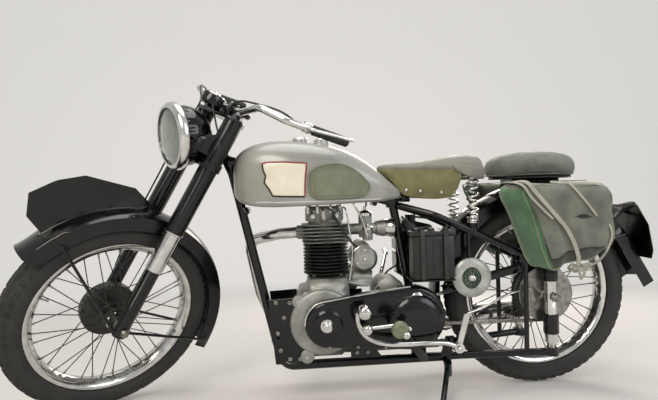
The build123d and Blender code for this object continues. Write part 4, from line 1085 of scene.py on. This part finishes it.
def pressed_panel(bm, outline, side, lift, thick, cells=10):
    """A thin plate inside an outline of X and Z, rounded onto the tank by a fine grid of rings."""
    middle = Vector(
        (sum(p[0] for p in outline) / len(outline), sum(p[1] for p in outline) / len(outline))
    )
    rings = []
    for k in range(cells + 1):
        share = 1 - k / (cells + 0.6)
        # The outermost ring touches the tank, and so makes the plate's edge
        height = lift + (thick if k else 0)
        ring = []
        for x, z in outline:
            flat = middle + (Vector((x, z)) - middle) * share
            ring.append(bm.verts.new(on_tank(flat.x, flat.y, side, height)))
        rings.append([bm.edges.new((ring[i], ring[(i + 1) % len(ring)])) for i in range(len(ring))])
    for one, other in zip(rings, rings[1:]):
        bmesh.ops.bridge_loops(bm, edges=one + other)
    bmesh.ops.contextual_create(bm, geom=rings[-1])


def dense(points, step=6.0):
    """More points along straight runs of X and Z, for a closed outline."""
    found = []
    for (x0, z0), (x1, z1) in zip(points, points[1:] + points[:1]):
        count = max(1, round(sqrt((x1 - x0) ** 2 + (z1 - z0) ** 2) / step))
        found += [(x0 + (x1 - x0) * k / count, z0 + (z1 - z0) * k / count) for k in range(count)]
    return found


# %% Blank panels and their edge lines
PANEL = [
    (936, 787), (918, 791), (866, 790), (797, 785), (799, 766), (802, 746), (804, 724), (805, 702),
    (806, 680), (866, 682), (906, 685), (916, 706), (931, 728), (926, 748), (933, 766),
]
DARK_EDGE = [
    (936, 787), (933, 766), (926, 748), (931, 728), (916, 706), (906, 685), (866, 682), (806, 680)
]
RED_EDGE = [
    (806, 680), (805, 702), (804, 724), (802, 746), (799, 766), (797, 785), (866, 790), (918, 791),
    (936, 787),
]
bm = bmesh.new()
for side in (-1, 1):
    pressed_panel(bm, dense(PANEL), side, 0.2, 1.0)
on_chassis("tank_panel", bm, "tank_paint", panel_cream, 40)
for label, material, points, half in (
    ("tank_panel_dark_edge", line_black, DARK_EDGE, 2.4),
    ("tank_panel_red_edge", line_red, RED_EDGE, 2.0),
):
    bm = bmesh.new()
    for side in (-1, 1):
        spread = []
        for (x0, z0), (x1, z1) in zip(points, points[1:]):
            spread += [(x0 + (x1 - x0) * k / 6, z0 + (z1 - z0) * k / 6) for k in range(6)]
        spread.append(points[-1])
        line = [on_tank(x, z, side, 1.2) for x, z in spread]
        swept(bm, line, [(-half, -0.8), (half, -0.8), (half, 0.9), (-half, 0.9)], (0, side, 0))
    on_chassis(label, bm, "tank_paint", material, 40)
print("panels pressed on")

# %% Knee rubbers with a raised rim
KNEE = [
    (790, 690), (794, 720), (790, 752), (770, 769), (735, 778), (700, 779), (665, 770), (632, 750),
    (604, 722), (594, 704), (606, 684), (630, 674), (700, 671), (765, 673),
]
bm = bmesh.new()
KNEE_X, KNEE_Z = 700, 722
for side in (-1, 1):
    outline = [(p.x, p.z) for p in smooth_path([(x, 0, z) for x, z in KNEE], closed=True, samples=5)]
    pressed_panel(bm, outline, side, 0.3, 7.5, 14)
    for share, lift, radius in ((0.985, 5.6, 3.4), (0.9, 7.6, 1.2), (0.8, 7.8, 1.2)):
        ring = [
            on_tank(KNEE_X + (x - KNEE_X) * share, KNEE_Z + (z - KNEE_Z) * share, side, lift)
            for x, z in outline
        ]
        swept(bm, ring, round_section(radius, 8), (0, side, 0), closed=True)
on_chassis("knee_rubbers", bm, "knee_rubber", grip_rubber, 45, ("knee_grips",))

# %% Silver lining along the tank's shoulder, and its two filler caps
bm = bmesh.new()
for side in (-1, 1):
    line = [on_tank(x, 664 + (2 if x > 900 else 0), side, 0.5) for x in range(960, 540, -12)]
    swept(bm, line, [(-1.6, -0.5), (1.6, -0.5), (1.6, 0.5), (-1.6, 0.5)], (0, side, 0))
on_chassis("tank_lining", bm, "tank_paint", line_silver, 40)
bm = bmesh.new()
CAP_Y = 46
for x, top, radius in ((812, 868.3, 26), (742, 864.3, 20)):
    dome = [(0, 7), (radius * 0.5, 6.6), (radius - 4, 5), (radius - 1.5, 2.5), (radius, 0), (radius, -5)]
    turned(bm, dome, (x, CAP_Y, top), UP, 40)
    # The milled edge
    for a in around(24):
        edge_x, edge_y = x + radius * cos(a), CAP_Y + radius * sin(a)
        bar(bm, (edge_x, edge_y, top - 5), (edge_x, edge_y, top + 1), 1.6, 6)
on_chassis("filler_caps", bm, "bright_chrome", None, 35)
print("rubbers, lining and caps")

# %% [markdown]
# ## Front mudguard's tip
# The real guard flares out a little where it ends, low in front of the wheel. The tip is one skin with a
# rolled crown: its sections stand on rays from the wheel's centre, and each lies a little further out
# than the last.

# %% The front mudguard's flared tip, which carries its curve a hand's breadth further down
GUARD_RADIUS, GUARD_HALF = 366, 60
bm = bmesh.new()
sections = []
# Angle above the axle, the crown's lift, and the radius of the edge
TIP_RAYS = [
    (26.4, 0, 310), (24.5, 0.6, 311), (22.6, 2, 315), (21, 4, 322), (19.8, 6, 332), (19.2, 8, 341)
]
for angle, lift, edge in TIP_RAYS:
    a = radians(angle)
    ring = []
    for thick, order in ((0, 1), (2.2, -1)):
        top, half = GUARD_RADIUS + lift - thick, GUARD_HALF - thick
        crown = [(top - 14 * (k / 6) ** 2, half * k / 6) for k in range(6, -7, -1)]
        ring += ([(edge, half)] + crown + [(edge, -half)])[::order]
    sections.append([(r * cos(a), y, r * sin(a)) for r, y in ring])
lofted(bm, sections)
finish_piece("front_mudguard_tip", bm, FORK, "fork", "black_enamel", None, 40)
bm = bmesh.new()
for a in around(6):
    screw(bm, (25 * cos(a), 39, 25 * sin(a)), LEFT, 8, 4)
turned(bm, [(18, 0), (30, 1), (32, 3), (32, -6), (18, -6)], (0, 40, 0), LEFT, 32)
finish_piece("front_hub_nuts", bm, FORK, "front_wheel", "bright_chrome", None, 35)
print("guard tip and hub nuts")

# %% [markdown]
# ## Headlamp
# Behind the lens sits a silvered reflector with a small bulb. The lens is pressed glass, with upright
# flutes on its inner face that spread the beam. Its rim is a chromed bead held by one screw.

# %% Reflector, bulb and flutes, on a board whose Z looks out of the lamp
lamp_out = Vector((cos(RAKE), 0, -sin(RAKE)))
lamp_up = Vector((sin(RAKE), 0, cos(RAKE)))
lamp_turn = Matrix((Vector(LEFT), lamp_up, lamp_out)).transposed().to_4x4()
LAMP = FORK @ Matrix.Translation((105, 0, 603)) @ lamp_turn
bm = bmesh.new()
turned(bm, [(0.5, -10.5), (24, -10), (50, -7.5), (72, -3.5), (87, 0.8), (87.5, 1.6)], (0, 0, 0), UP, 64)
bulb = bmesh.ops.create_uvsphere(bm, u_segments=20, v_segments=12, radius=6.5)["verts"]
bmesh.ops.translate(bm, vec=(0, 0, -4.2), verts=bulb)
finish_piece("lamp_reflector", bm, LAMP, "fork", "bright_chrome", None, 60)
bm = bmesh.new()
for k in range(-9, 10):
    x = k * 9
    reach = sqrt(86.0**2 - x**2)
    bar(bm, (x, -reach, 12), (x, reach, 12), 3.2, 8)
finish_piece("lamp_flutes", bm, LAMP, "fork", "lens_glass", None, 60)
bm = bmesh.new()
turned(bm, [(97, -12), (100, -10), (101.5, -6), (100, -2), (97, 0)], (0, 0, 0), UP, 72)
screw(bm, (0, -104, 4), (0, -1, 0.2), 7, 3)
finish_piece("lamp_bead", bm, LAMP, "fork", "bright_chrome", None, 40)
print("lamp fitted")

# %% [markdown]
# ## Controls on the handlebar
# The grips are ribbed rubber, turned from a profile. Bowden cables leave the levers, loop forward over
# the lamp and run down beside the head. They are fixed at both ends, so they are modelled as what they
# are, thin tubes.

# %% Grips
GRIP_END = Vector((-250, 332, 842))
GRIP_RUN = (GRIP_END - Vector((-42, 290, 798))).normalized()
bm = bmesh.new()
for side in (-1, 1):
    end = Vector((GRIP_END.x, side * GRIP_END.y, GRIP_END.z))
    run = Vector((GRIP_RUN.x, side * GRIP_RUN.y, GRIP_RUN.z))
    profile = [(11.5, -127.5), (15.5, -127), (16, -124), (15.6, -119)]
    for k in range(15):
        z = -116 + 7.4 * k
        profile += [(15.8, z), (15.8, z + 3.6), (14.4, z + 4.4), (14.4, z + 6.4)]
    profile += [(15.8, -4), (15.2, -1), (12, 0), (0.5, 0)]
    turned(bm, profile, end, run, 28)
finish_piece("ribbed_grips", bm, FORK, "fork", "black_rubber", None, 30, ("handlebar_grips",))

# %% Cables from the levers to the engine side of the head
bm = bmesh.new()
perch = GRIP_END - GRIP_RUN * 150
for run in (
    [
        (perch.x + 22, perch.y - 4, perch.z - 4), (perch.x + 80, perch.y - 40, perch.z + 4),
        (10, 180, 806), (30, 120, 792), (20, 70, 760), (-4, 52, 700), (-20, 60, 640), (-34, 62, 600),
    ],
    [
        (perch.x + 22, 4 - perch.y, perch.z - 4), (perch.x + 80, 40 - perch.y, perch.z + 4),
        (18, -190, 806), (44, -130, 790), (40, -90, 740), (36, -128, 640), (30, -128, 500),
        (26, -128, 300), (10, -128, 120),
    ],
    [
        (perch.x + 12, 8 - perch.y, perch.z - 8), (perch.x + 70, 50 - perch.y, perch.z - 12),
        (4, -170, 796), (20, -110, 776), (8, -64, 740), (-12, -54, 690), (-30, -58, 640), (-36, -60, 600),
    ],
    [
        (48, 6, 782), (60, 20, 770), (56, 40, 740), (34, 66, 700), (20, 128, 640), (14, 127, 560),
        (12, 124, 420),
    ],
):
    tube(bm, run, 3.0, 7)
finish_piece("control_cables", bm, FORK, "fork", "black_rubber", cable_black, 60)

# %% Dial glass, bar clamps and the steering knob's wing
bm = bmesh.new()
# The dial stands up from the fork's upper yoke
DIAL = (48, 0, 735)
turned(bm, [(0.5, 48.6), (26, 48.6), (27, 49.6), (31, 50), (34, 48.4), (37, 46)], DIAL, UP, 48)
for side in (-1, 1):
    for x in (-18, 8):
        screw(bm, (x, side * 45, 784), UP, 9, 4)
    screw(bm, (0, side * 97, 755), UP, 22, 7)
    turned(bm, [(16, 0), (31.5, 0.5), (31.5, 4), (16, 4.5)], (0, side * 97, 336), UP, 36)
bar(bm, (-99, 0, 779), (-31, 0, 779), 5, 12)
finish_piece("bar_fittings", bm, FORK, "fork", "bright_chrome", None, 40)
bm = bmesh.new()
turned(bm, [(0.5, 48.9), (25.5, 48.9)], DIAL, UP, 48)
for a in around(12):
    c, s = cos(a), sin(a)
    bar(bm, (DIAL[0] + 19 * c, 19 * s, 784.05), (DIAL[0] + 24 * c, 24 * s, 784.05), 0.5, 6)
bar(bm, (DIAL[0], 0, 784.4), (62, 9, 784.4), 0.7, 6)
finish_piece("speed_dial", bm, FORK, "fork", "battery_case", dial_white, 40)
print("bar dressed")

# %% [markdown]
# ## Engine fittings
# What makes an old engine look like one is its small hardware: studs, unions, pipes, a plug and its lead.
# Each is a few turned or swept forms, put where the photograph shows it and against what holds it.

# %% Screws round the cases, engine plates and the timing chest
bm = bmesh.new()
CHAINCASE_FACE, ENGINE_PLATE, TIMING_FACE = 128, 78.3, 106
for x, z in ((404, 186), (462, 178), (560, 185), (650, 192), (741, 196)):
    bar(bm, (x, CHAINCASE_FACE - 4, z), (x, CHAINCASE_FACE + 1.5, z), 4.4, 12)
for x, z in ((909, 338), (864, 336), (884, 288), (905, 238), (898, 182), (868, 152), (836, 150)):
    for side in (-1, 1):
        screw(bm, (x, side * ENGINE_PLATE, z), (0, side, 0), 15, 6)
for x, z in ((612, 320), (648, 320), (612, 160), (648, 160)):
    screw(bm, (x, ENGINE_PLATE, z), LEFT, 13, 5)
TIMING_SCREWS = [
    (757, 215), (710, 240), (712, 300), (770, 350), (800, 318), (640, 420), (606, 412), (604, 380),
    (660, 360),
]
for x, z in TIMING_SCREWS:
    bar(bm, (x, -TIMING_FACE, z), (x, -TIMING_FACE - 6, z), 4, 12)
for x, y in ((690, 46), (780, 46), (690, -46), (780, -46)):
    screw(bm, (x, y, 413), UP, 12, 7)
for x, y in ((686, 30), (784, 30), (686, -42), (784, -42), (735, 40)):
    screw(bm, (x, y, 640), UP, 10, 5)
on_chassis("engine_screws", bm, "plain_steel", None, 30)

# %% The drive side's crankcase wall: a pale crescent in front of the chaincase, with a lug below
bm = bmesh.new()
wall = [(60, 79), (106, 79), (108, 83), (108, 88), (105, 93), (97, 96.5), (60, 96.5)]
turned(bm, wall, (757, 0, 268), LEFT, 96)
for x, z, radius in ((812, 158, 22), (836, 338, 20)):
    lug = [(0.5, 79), (radius, 79), (radius + 1, 82), (radius + 1, 88), (radius - 2, 91), (0.5, 91)]
    turned(bm, lug, (x, 0, z), LEFT, 32)
on_chassis("crankcase_crescent", bm, "cast_alloy", None, 40)
bm = bmesh.new()
for x, z in ((812, 158), (836, 338)):
    screw(bm, (x, 91, z), LEFT, 15, 5)
# A chrome rod along the chaincase's upper edge, a painted highlight where its gloss catches the light
band = [
    (818, 268), (815, 292), (804, 314), (786, 332), (764, 341), (741, 344.5), (690, 352), (600, 364),
    (520, 375), (474, 379),
]
tube(bm, [(x, 125.4, z) for x, z in band], 2.8, 6)
# Rocker spindle ends and the nuts of the rocker box
for x in (778, 700):
    turned(bm, [(0.5, 7), (7, 6.4), (11, 3), (11.5, -6)], (x, 44, 612), LEFT, 24)
for x in (762, 718, 794, 686):
    bar(bm, (x, 44, 622), (x, 44, 643), 5, 6)
    bar(bm, (x, 44, 643), (x, 44, 650), 5, 12, 2)
on_chassis("engine_brights", bm, "bright_chrome", None, 35)

# %% Domes, caps and end covers that the photograph shows bright
bm = bmesh.new()
turned(bm, [(0.5, 9), (10, 8.6), (14, 6), (16, 0), (21, -1), (22, -6)], (748, 140, 268), LEFT, 32)
screw(bm, (748, 148, 268), LEFT, 17, 6)
turned(bm, [(0.5, 7), (16, 6.4), (20, 4), (21, 0), (21, -8)], (454, 129, 340), LEFT, 32)
turned(bm, [(0.5, 5), (5, 5), (7, 2.5), (7, -1)], (612, 74, 467), LEFT, 20)
for degrees in (90, 210, 330):
    a = radians(degrees)
    screw(bm, (612 + 29 * cos(a), 73.5, 467 + 29 * sin(a)), LEFT, 7, 3)
turned(bm, [(30, 0), (43.6, 0), (44, 2), (44, 7), (42.5, 8)], (612, 58, 467), LEFT, 48)
on_chassis("case_caps", bm, "bright_chrome", None, 35)
print("screws and caps")

# %% Sparking plug with its lead, rocker feed pipe and unions
bm = bmesh.new()
PLUG_SEAT, PLUG_WAY = (742, 58, 596), (0.1, 0.75, 0.66)
turned(
    bm, [(0.5, 62), (2.5, 62), (3, 52), (4.6, 50), (6.5, 28), (6.5, 18), (8, 17)], PLUG_SEAT, PLUG_WAY, 20
)
on_chassis("plug_body", bm, "cast_alloy", dial_white, 35)
bm = bmesh.new()
turned(bm, [(0.5, 18), (11, 18), (11, 8), (8.5, 7), (8.5, -6)], PLUG_SEAT, PLUG_WAY, 6)
for start, end in (((700, 40, 628), (688, 52, 628)), ((770, 40, 628), (782, 52, 628))):
    bar(bm, start, end, 6.5, 6)
tube(bm, [(690, 50, 628), (676, 60, 640), (668, 70, 622), (660, 72, 560), (652, 70, 500), (656, 62, 440),
    (664, 62, 396)], 2.6, 6)
tube(bm, [(470, -84, 420), (520, -40, 400), (560, 40, 372), (590, 66, 356), (640, 66, 350)], 4.2, 6)
on_chassis("plug_hex_and_pipes", bm, "plain_steel", bright_chrome, 35)
bm = bmesh.new()
tip = Vector(PLUG_SEAT) + Vector(PLUG_WAY).normalized() * 58
tube(bm, [tip, tip + Vector((2, 16, 10)), tip + Vector((-24, 20, 0)), (694, 92, 580), (660, 80, 530),
    (636, 62, 506), (622, 48, 496)], 3.4, 7)
tube(bm, [(596, 30, 640), (598, 20, 662), (640, 24, 676), (760, 44, 672), (960, 40, 690)], 3.0, 7)
on_chassis("plug_lead_and_throttle", bm, "black_rubber", cable_black, 60)

# %% Carburettor: mixing chamber cap, float bowl lid, unions and fuel pipe
bm = bmesh.new()
# Each profile's heights are the machine's own, so its centre lies on the ground
MIXING_CHAMBER, FLOAT_BOWL = (596, 0, 0), (596, 46, 0)
chamber_cap = [
    (0.5, 640), (5, 640), (5, 626), (13, 624), (20, 619), (24.5, 616), (24.5, 606), (23.2, 606)
]
bowl_lid = [(0.5, 580), (5, 580), (6, 574), (15, 572), (18.4, 570), (18.4, 562), (17.2, 562)]
turned(bm, chamber_cap, MIXING_CHAMBER, UP, 32)
turned(bm, bowl_lid, FLOAT_BOWL, UP, 32)
turned(bm, [(0.5, 524), (7, 524), (7, 530), (12, 532), (17.3, 534)], FLOAT_BOWL, UP, 24)
turned(bm, [(0.5, 520), (9, 520), (9, 528), (14, 530), (14, 534)], MIXING_CHAMBER, UP, 6)
# The trumpet through which the engine breathes
trumpet = [(29, 0), (30, 14), (36, 28), (39, 31), (38, 33), (34, 31), (27, 14), (26, 0)]
turned(bm, trumpet, (531, 0, 562), (-1, 0, 0), 40)
tube(bm, [(596, 58, 530), (600, 66, 545), (618, 76, 600), (640, 84, 640), (650, 84, 656)], 3.6, 7)
on_chassis("carburettor_fittings", bm, "bright_chrome", None, 35)
print("plug, pipes and carburettor")

# %% [markdown]
# ## Battery
# The battery is a hard rubber case with moulded ribs and a lid. Two dark steel straps hold it, each with
# a screw on top. Its lead-covered terminals stand on the lid, and each has its cable.

# %% Case, lid, straps and terminals
bm = bmesh.new()
block(bm, (398, 112, 471), (134, 64, 140), None, 4)
for x in (352, 375, 398, 421, 444):
    block(bm, (x, 144.5, 470), (5, 3, 116), None, 1)
block(bm, (398, 113, 549), (144, 71, 14), None, 3)
for x in (350, 398, 446):
    turned(bm, [(0.5, 9), (9, 9), (11, 6), (11, 0)], (x, 113, 556), UP, 20)
on_chassis("battery_case", bm, "battery_case", None, 35, ("battery",))
bm = bmesh.new()
for x in (360, 436):
    # Up the front, round the lid's edge and back over its top
    run = [(150.6, 402), (150.6, 556), (149, 559.5), (144, 560.5), (80, 560.5)]
    flat_bar = [(-7, -0.8), (7, -0.8), (7, 0.8), (-7, 0.8)]
    swept(bm, [Vector((x, y, z)) for y, z in run], flat_bar, (0, 1, 0.2))
    screw(bm, (x, 132, 560.5), UP, 10, 8)
for x in (340, 456):
    bar(bm, (x, 96, 556), (x, 96, 568), 5, 12, 4.4)
on_chassis("battery_straps", bm, "plain_steel", hub_enamel, 35)
bm = bmesh.new()
tube(bm, [(340, 96, 566), (336, 90, 582), (352, 70, 590), (400, 40, 594), (440, 26, 600)], 3.4, 6)
tube(bm, [(456, 96, 566), (462, 88, 580), (470, 60, 590), (474, 30, 600)], 3.4, 6)
on_chassis("battery_leads", bm, "black_rubber", cable_black, 60)
print("battery strapped in")

# %% [markdown]
# ## Horn
# The horn's face is a pale ring round a dark green grille with a bright nut in its middle. The grille is
# slotted sheet: rings and spokes with gaps between them.

# %% Ring, grille and centre nut
bm = bmesh.new()
HORN = Vector((262, 0, 395))
ring = [(34, 109), (37, 115.6), (55, 115.6), (65, 108.4), (65, 97), (52, 97)]
turned(bm, ring, HORN, LEFT, 64)
on_chassis("horn_ring", bm, "grey_enamel", None, 40)
bm = bmesh.new()
for r in (14, 21, 28, 34):
    turned(bm, [(r - 2, 111), (r - 1.6, 113.4), (r + 1.6, 113.4), (r + 2, 111)], HORN, LEFT, 48)
for a in around(12):
    ends = [(HORN.x + r * cos(a), 112, HORN.z + r * sin(a)) for r in (10, 34)]
    bar(bm, *ends, 1.5, 6)
horn_green = mottled_finish("horn_grille_enamel", 0.45, "#1e3123", "#2c4532", 20, (0.38, 0.55))
on_chassis("horn_grille", bm, "grey_enamel", horn_green, 40)
bm = bmesh.new()
turned(bm, [(0.5, 124.5), (6, 124), (9.4, 121), (9.6, 112), (12, 111)], HORN, LEFT, 24)
on_chassis("horn_nut", bm, "bright_chrome", None, 40)
print("horn dressed")

# %% Black covers over the springs of each rear plunger, above and below its bright slider
bm = bmesh.new()
PLUNGER_Y = 118
low_cover = [(18, 199), (23.5, 200), (24.5, 203), (24.5, 262), (23.5, 265), (18, 266)]
high_cover = [(18, 374), (23.5, 375), (24.5, 378), (24.5, 409), (23.5, 411.5), (18, 411.5)]
for y in (PLUNGER_Y, -PLUNGER_Y):
    for cover in (low_cover, high_cover):
        turned(bm, cover, (0, y, 0), UP, 36)
on_chassis("plunger_covers", bm, "black_enamel", None, 40)
print("plungers dressed")

# %% [markdown]
# ## Plates and tail lamp
# Both number plates stay blank and black, with a raised rim. The tail lamp is a small bowl whose red
# glass looks back, under a hooded top.

# %% Tail lamp and plate rims
# The rear mudguard's tail leaves its round at 150 degrees about the wheel. The plate stands 95 mm down it.
PLATE_LEAN, TAIL, REAR_GUARD_RADIUS, DOWN_THE_TAIL = radians(10), radians(150), 374.3, 95
guard_end = Vector((REAR_GUARD_RADIUS * cos(TAIL), 0, WHEEL_RADIUS + REAR_GUARD_RADIUS * sin(TAIL)))
foot = guard_end + Vector((-sin(TAIL), 0, cos(TAIL))) * DOWN_THE_TAIL
out = Vector((-cos(PLATE_LEAN), 0, sin(PLATE_LEAN)))
across = Vector(LEFT)
PLATE = Matrix((across, out.cross(across), out)).transposed().to_4x4()
PLATE.translation = foot
bm = bmesh.new()
half = [(x * 0.97, -2 + y * 0.975) for x, y in ((100, 0), (115, -30), (115, -120), (78, -186))]
rim = half + [(-x, y) for x, y in reversed(half)]
swept(bm, [Vector((x, y, 3.2)) for x, y in rim], round_section(2.0, 8), UP, closed=True)
block(bm, (0, -120, 3.4), (150, 96, 0.8), None, 0.3)
finish_piece("rear_plate_rim", bm, MACHINE @ PLATE, "chassis", "black_enamel", None, 40)
bm = bmesh.new()
turned(bm, [(0.5, 41), (12, 40.4), (18, 38), (20.5, 35.5), (20.5, 33)], (0, -168, 0), UP, 36)
finish_piece("tail_lamp_glass", bm, MACHINE @ PLATE, "chassis", "black_enamel", red_glass, 60)
bm = bmesh.new()
turned(bm, [(20, 33), (22.8, 33), (23, 37), (21, 38.4)], (0, -168, 0), UP, 36)
finish_piece("tail_lamp_bezel", bm, MACHINE @ PLATE, "chassis", "bright_chrome", None, 40)
print("tail lamp and plate")

# %% [markdown]
# ## Footrests and brake pedal
# Rubber sleeves grip the rider's soles, so the footrests are ribbed. The left one ends in an olive disc.
# The brake pedal is a forged bar that swells at its pivot, and a rod takes its pull back to the rear
# brake.

# %% The left footrest's end disc, its two bright bolts, and the toe peg in front of it
olive_paint = mottled_finish("olive_footrest_paint", 0.45, "#5f6650", "#7c8268", 20, (0.4, 0.6))
bm = bmesh.new()
turned(bm, [(0.5, 11), (16, 10.5), (23, 7), (26, 2), (26, -7), (12, -9)], (540, 256, 277), LEFT, 40)
on_chassis("footrest_disc", bm, "black_rubber", olive_paint, 40)
bm = bmesh.new()
turned(bm, [(0.5, 10), (7, 9), (11, 5), (11.5, -6)], (523, 259, 262), LEFT, 24)
turned(bm, [(0.5, 8), (4, 7.4), (6.5, 4), (6.5, -6)], (512, 259, 281), LEFT, 20)
bar(bm, (626, 190, 268), (548, 200, 276), 6, 16)
turned(bm, [(0.5, 17), (10, 16), (15, 11), (16, 6), (16, -16), (8, -18)], (628, 192, 266), LEFT, 32)
on_chassis("footrest_brights", bm, "bright_chrome", None, 40)

# %% Footrest rubbers
bm = bmesh.new()
REST_END, RIB_PITCH = 258, 7
for side, arm_y in ((1, 161), (-1, 106)):
    for k in range(int((REST_END - arm_y) / RIB_PITCH)):
        y = side * (arm_y + 5 + RIB_PITCH * k)
        turned(bm, [(15, -2), (17.6, -1.6), (17.6, 1.6), (15, 2)], (534, y, 268), LEFT, 24)
on_chassis("foot_rubbers", bm, "black_rubber", None, 35)
print("foot rubbers")

# %% Brake pedal on its pivot, with its toe peg and the rod to the rear brake
bm = bmesh.new()
tube(bm, [(335, 172, 187), (372, 174, 203), (430, 177, 208), (500, 178, 209), (560, 180, 213),
    (606, 182, 226), (640, 186, 252), (656, 191, 288), (658, 195, 318)], 8, 8, 12)
toe_peg = [(0.5, 24), (12, 23), (18, 19), (20.5, 13), (20.5, -20), (16, -24), (0.5, -24)]
turned(bm, toe_peg, (638, 204, 322), LEFT, 36)
bar(bm, (335, 164, 187), (335, 181, 187), 16, 28)
screw(bm, (335, 181, 187), LEFT, 17, 7)
lever = [Vector((335, 168, 187)), Vector((320, 168, 236)), Vector((304, 168, 290))]
swept(bm, lever, [(-9, -3), (9, -3), (9, 3), (-9, 3)], LEFT)
bar(bm, (304, 154, 290), (304, 173, 290), 6, 16)
tube(bm, [(304, 158, 290), (236, 134, 302), (134, 95, 331), (60, 94.5, 347)], 4, 8, 10)
on_chassis("brake_pedal_forged", bm, "bright_chrome", None, 40, ("brake_pedal",))
print("pedal and rod")

# %% [markdown]
# ## Floor, light and camera
# A plain pale floor runs up into a pale sweep. Broad soft lamps stand where a photographer would put
# them. The camera stands where the photograph was taken: to the machine's left and a little ahead of its
# middle, at the height of its tank. That place was found by matching the wheels, the lamp and the tank to
# the picture.

# %% Floor and backdrop
def glow_for_the_eye(tree, strength):
    """A strength that only the camera, mirrors and glass see, so that it lights nothing."""
    ray = add(tree, "ShaderNodeLightPath").outputs
    seen = ray["Is Camera Ray"]
    for other in ("Is Glossy Ray", "Is Transmission Ray"):
        seen = add(
            tree, "ShaderNodeMath", {"operation": "MAXIMUM"}, {0: seen, 1: ray[other]}
        ).outputs["Value"]
    return add(tree, "ShaderNodeMath", {"operation": "MULTIPLY"}, {0: seen, 1: strength}).outputs["Value"]


floor_paint, tree, shader, place = finish_of("studio_paper", 0.8, Specular_IOR_Level=0.2)
shader.inputs["Base Color"].default_value = linear("#cdcbc7")
shader.inputs["Emission Color"].default_value = linear("#f4f2ee")
far_off = add(tree, "ShaderNodeVectorMath", {"operation": "LENGTH"}, {0: place})
# The floor keeps the machine's shadow near its feet and grows paler from 1.3 m to 6 m away
fade = {
    "Value": far_off.outputs["Value"], "From Min": 1.3, "From Max": 6.0, "To Min": 0.1, "To Max": 0.52
}
pale = add(tree, "ShaderNodeMapRange", None, fade)
tree.links.new(glow_for_the_eye(tree, pale.outputs["Result"]), shader.inputs["Emission Strength"])
bm = bmesh.new()
FLOOR_HALF, FLOOR_AHEAD, FLOOR_DROP = 30.0, 23.5, 0.0005
bmesh.ops.create_grid(bm, x_segments=1, y_segments=1, size=FLOOR_HALF)
back = [edge for edge in bm.edges if all(vert.co.y < 1 - FLOOR_HALF for vert in edge.verts)]
risen = bmesh.ops.extrude_edge_only(bm, edges=back)["geom"]
top = [part for part in risen if isinstance(part, bmesh.types.BMVert)]
bmesh.ops.translate(bm, vec=(0, 0, FLOOR_HALF), verts=top)
bmesh.ops.transform(bm, matrix=Matrix.Translation((0, FLOOR_AHEAD, -FLOOR_DROP)), verts=bm.verts)
floor_mesh = bpy.data.meshes.new("floor")
bm.to_mesh(floor_mesh)
bm.free()
floor = bpy.data.objects.new("floor", floor_mesh)
floor_mesh.materials.append(floor_paint)
bpy.context.scene.collection.objects.link(floor)

# %% World and lamps
world = bpy.data.worlds.new("studio")
bpy.context.scene.world = world
world.use_nodes = True
tree = world.node_tree
sky = tree.nodes["Background"]
sky.inputs["Color"].default_value = linear("#dcdedf")
extra = glow_for_the_eye(tree, 0.3)
strength = add(tree, "ShaderNodeMath", {"operation": "ADD"}, {0: extra, 1: 0.45})
tree.links.new(strength.outputs["Value"], sky.inputs["Strength"])
for name, place, size, power, colour in (
    ("key", (1.6, 3.2, 2.8), 2.2, 95, "#fff6ea"),
    ("fill", (-2.6, 2.6, 1.8), 2.4, 48, "#f2f6ff"),
    ("top", (0.0, 0.2, 3.6), 2.6, 60, "#ffffff"),
    ("rim", (-1.4, -3.0, 2.4), 2.0, 60, "#fff2e6"),
):
    lamp = bpy.data.lights.new(name, "AREA")
    lamp.shape = "DISK"
    lamp.size = size
    lamp.energy = power
    lamp.color = linear(colour)[:3]
    lamp_object = bpy.data.objects.new(name, lamp)
    away = Vector((0, 0, 0.5)) - Vector(place)
    aim = away.to_track_quat("-Z", "Y").to_matrix().to_4x4()
    lamp_object.matrix_world = Matrix.Translation(place) @ aim
    bpy.context.scene.collection.objects.link(lamp_object)

# %% Camera
YAW, TILT, ROLL = radians(4.8), radians(-1.1), radians(-1.8)
FOCAL_PX, PHOTO_WIDTH_PX, SENSOR_MM = 497, 658, 36
# Where the eye stands on the machine's board, in millimetres
EYE = (861, 1697, 697)
ahead = Vector((-sin(YAW) * cos(TILT), -cos(YAW) * cos(TILT), sin(TILT)))
level = ahead.cross(Vector(UP)).normalized()
upward = level.cross(ahead)
right = cos(ROLL) * level + sin(ROLL) * upward
upward = -sin(ROLL) * level + cos(ROLL) * upward
eye = Matrix((right, upward, -ahead)).transposed().to_4x4()
eye.translation = Vector(EYE)
camera_data = bpy.data.cameras.new("camera")
camera_data.sensor_width = SENSOR_MM
camera_data.lens = FOCAL_PX * SENSOR_MM / PHOTO_WIDTH_PX
camera = bpy.data.objects.new("camera", camera_data)
camera.matrix_world = MACHINE @ eye
camera.matrix_world = Matrix.LocRotScale(
    camera.matrix_world.translation, camera.matrix_world.to_quaternion(), (1, 1, 1)
)
bpy.context.scene.collection.objects.link(camera)
bpy.context.scene.camera = camera
bpy.context.scene.view_settings.view_transform = "Standard"
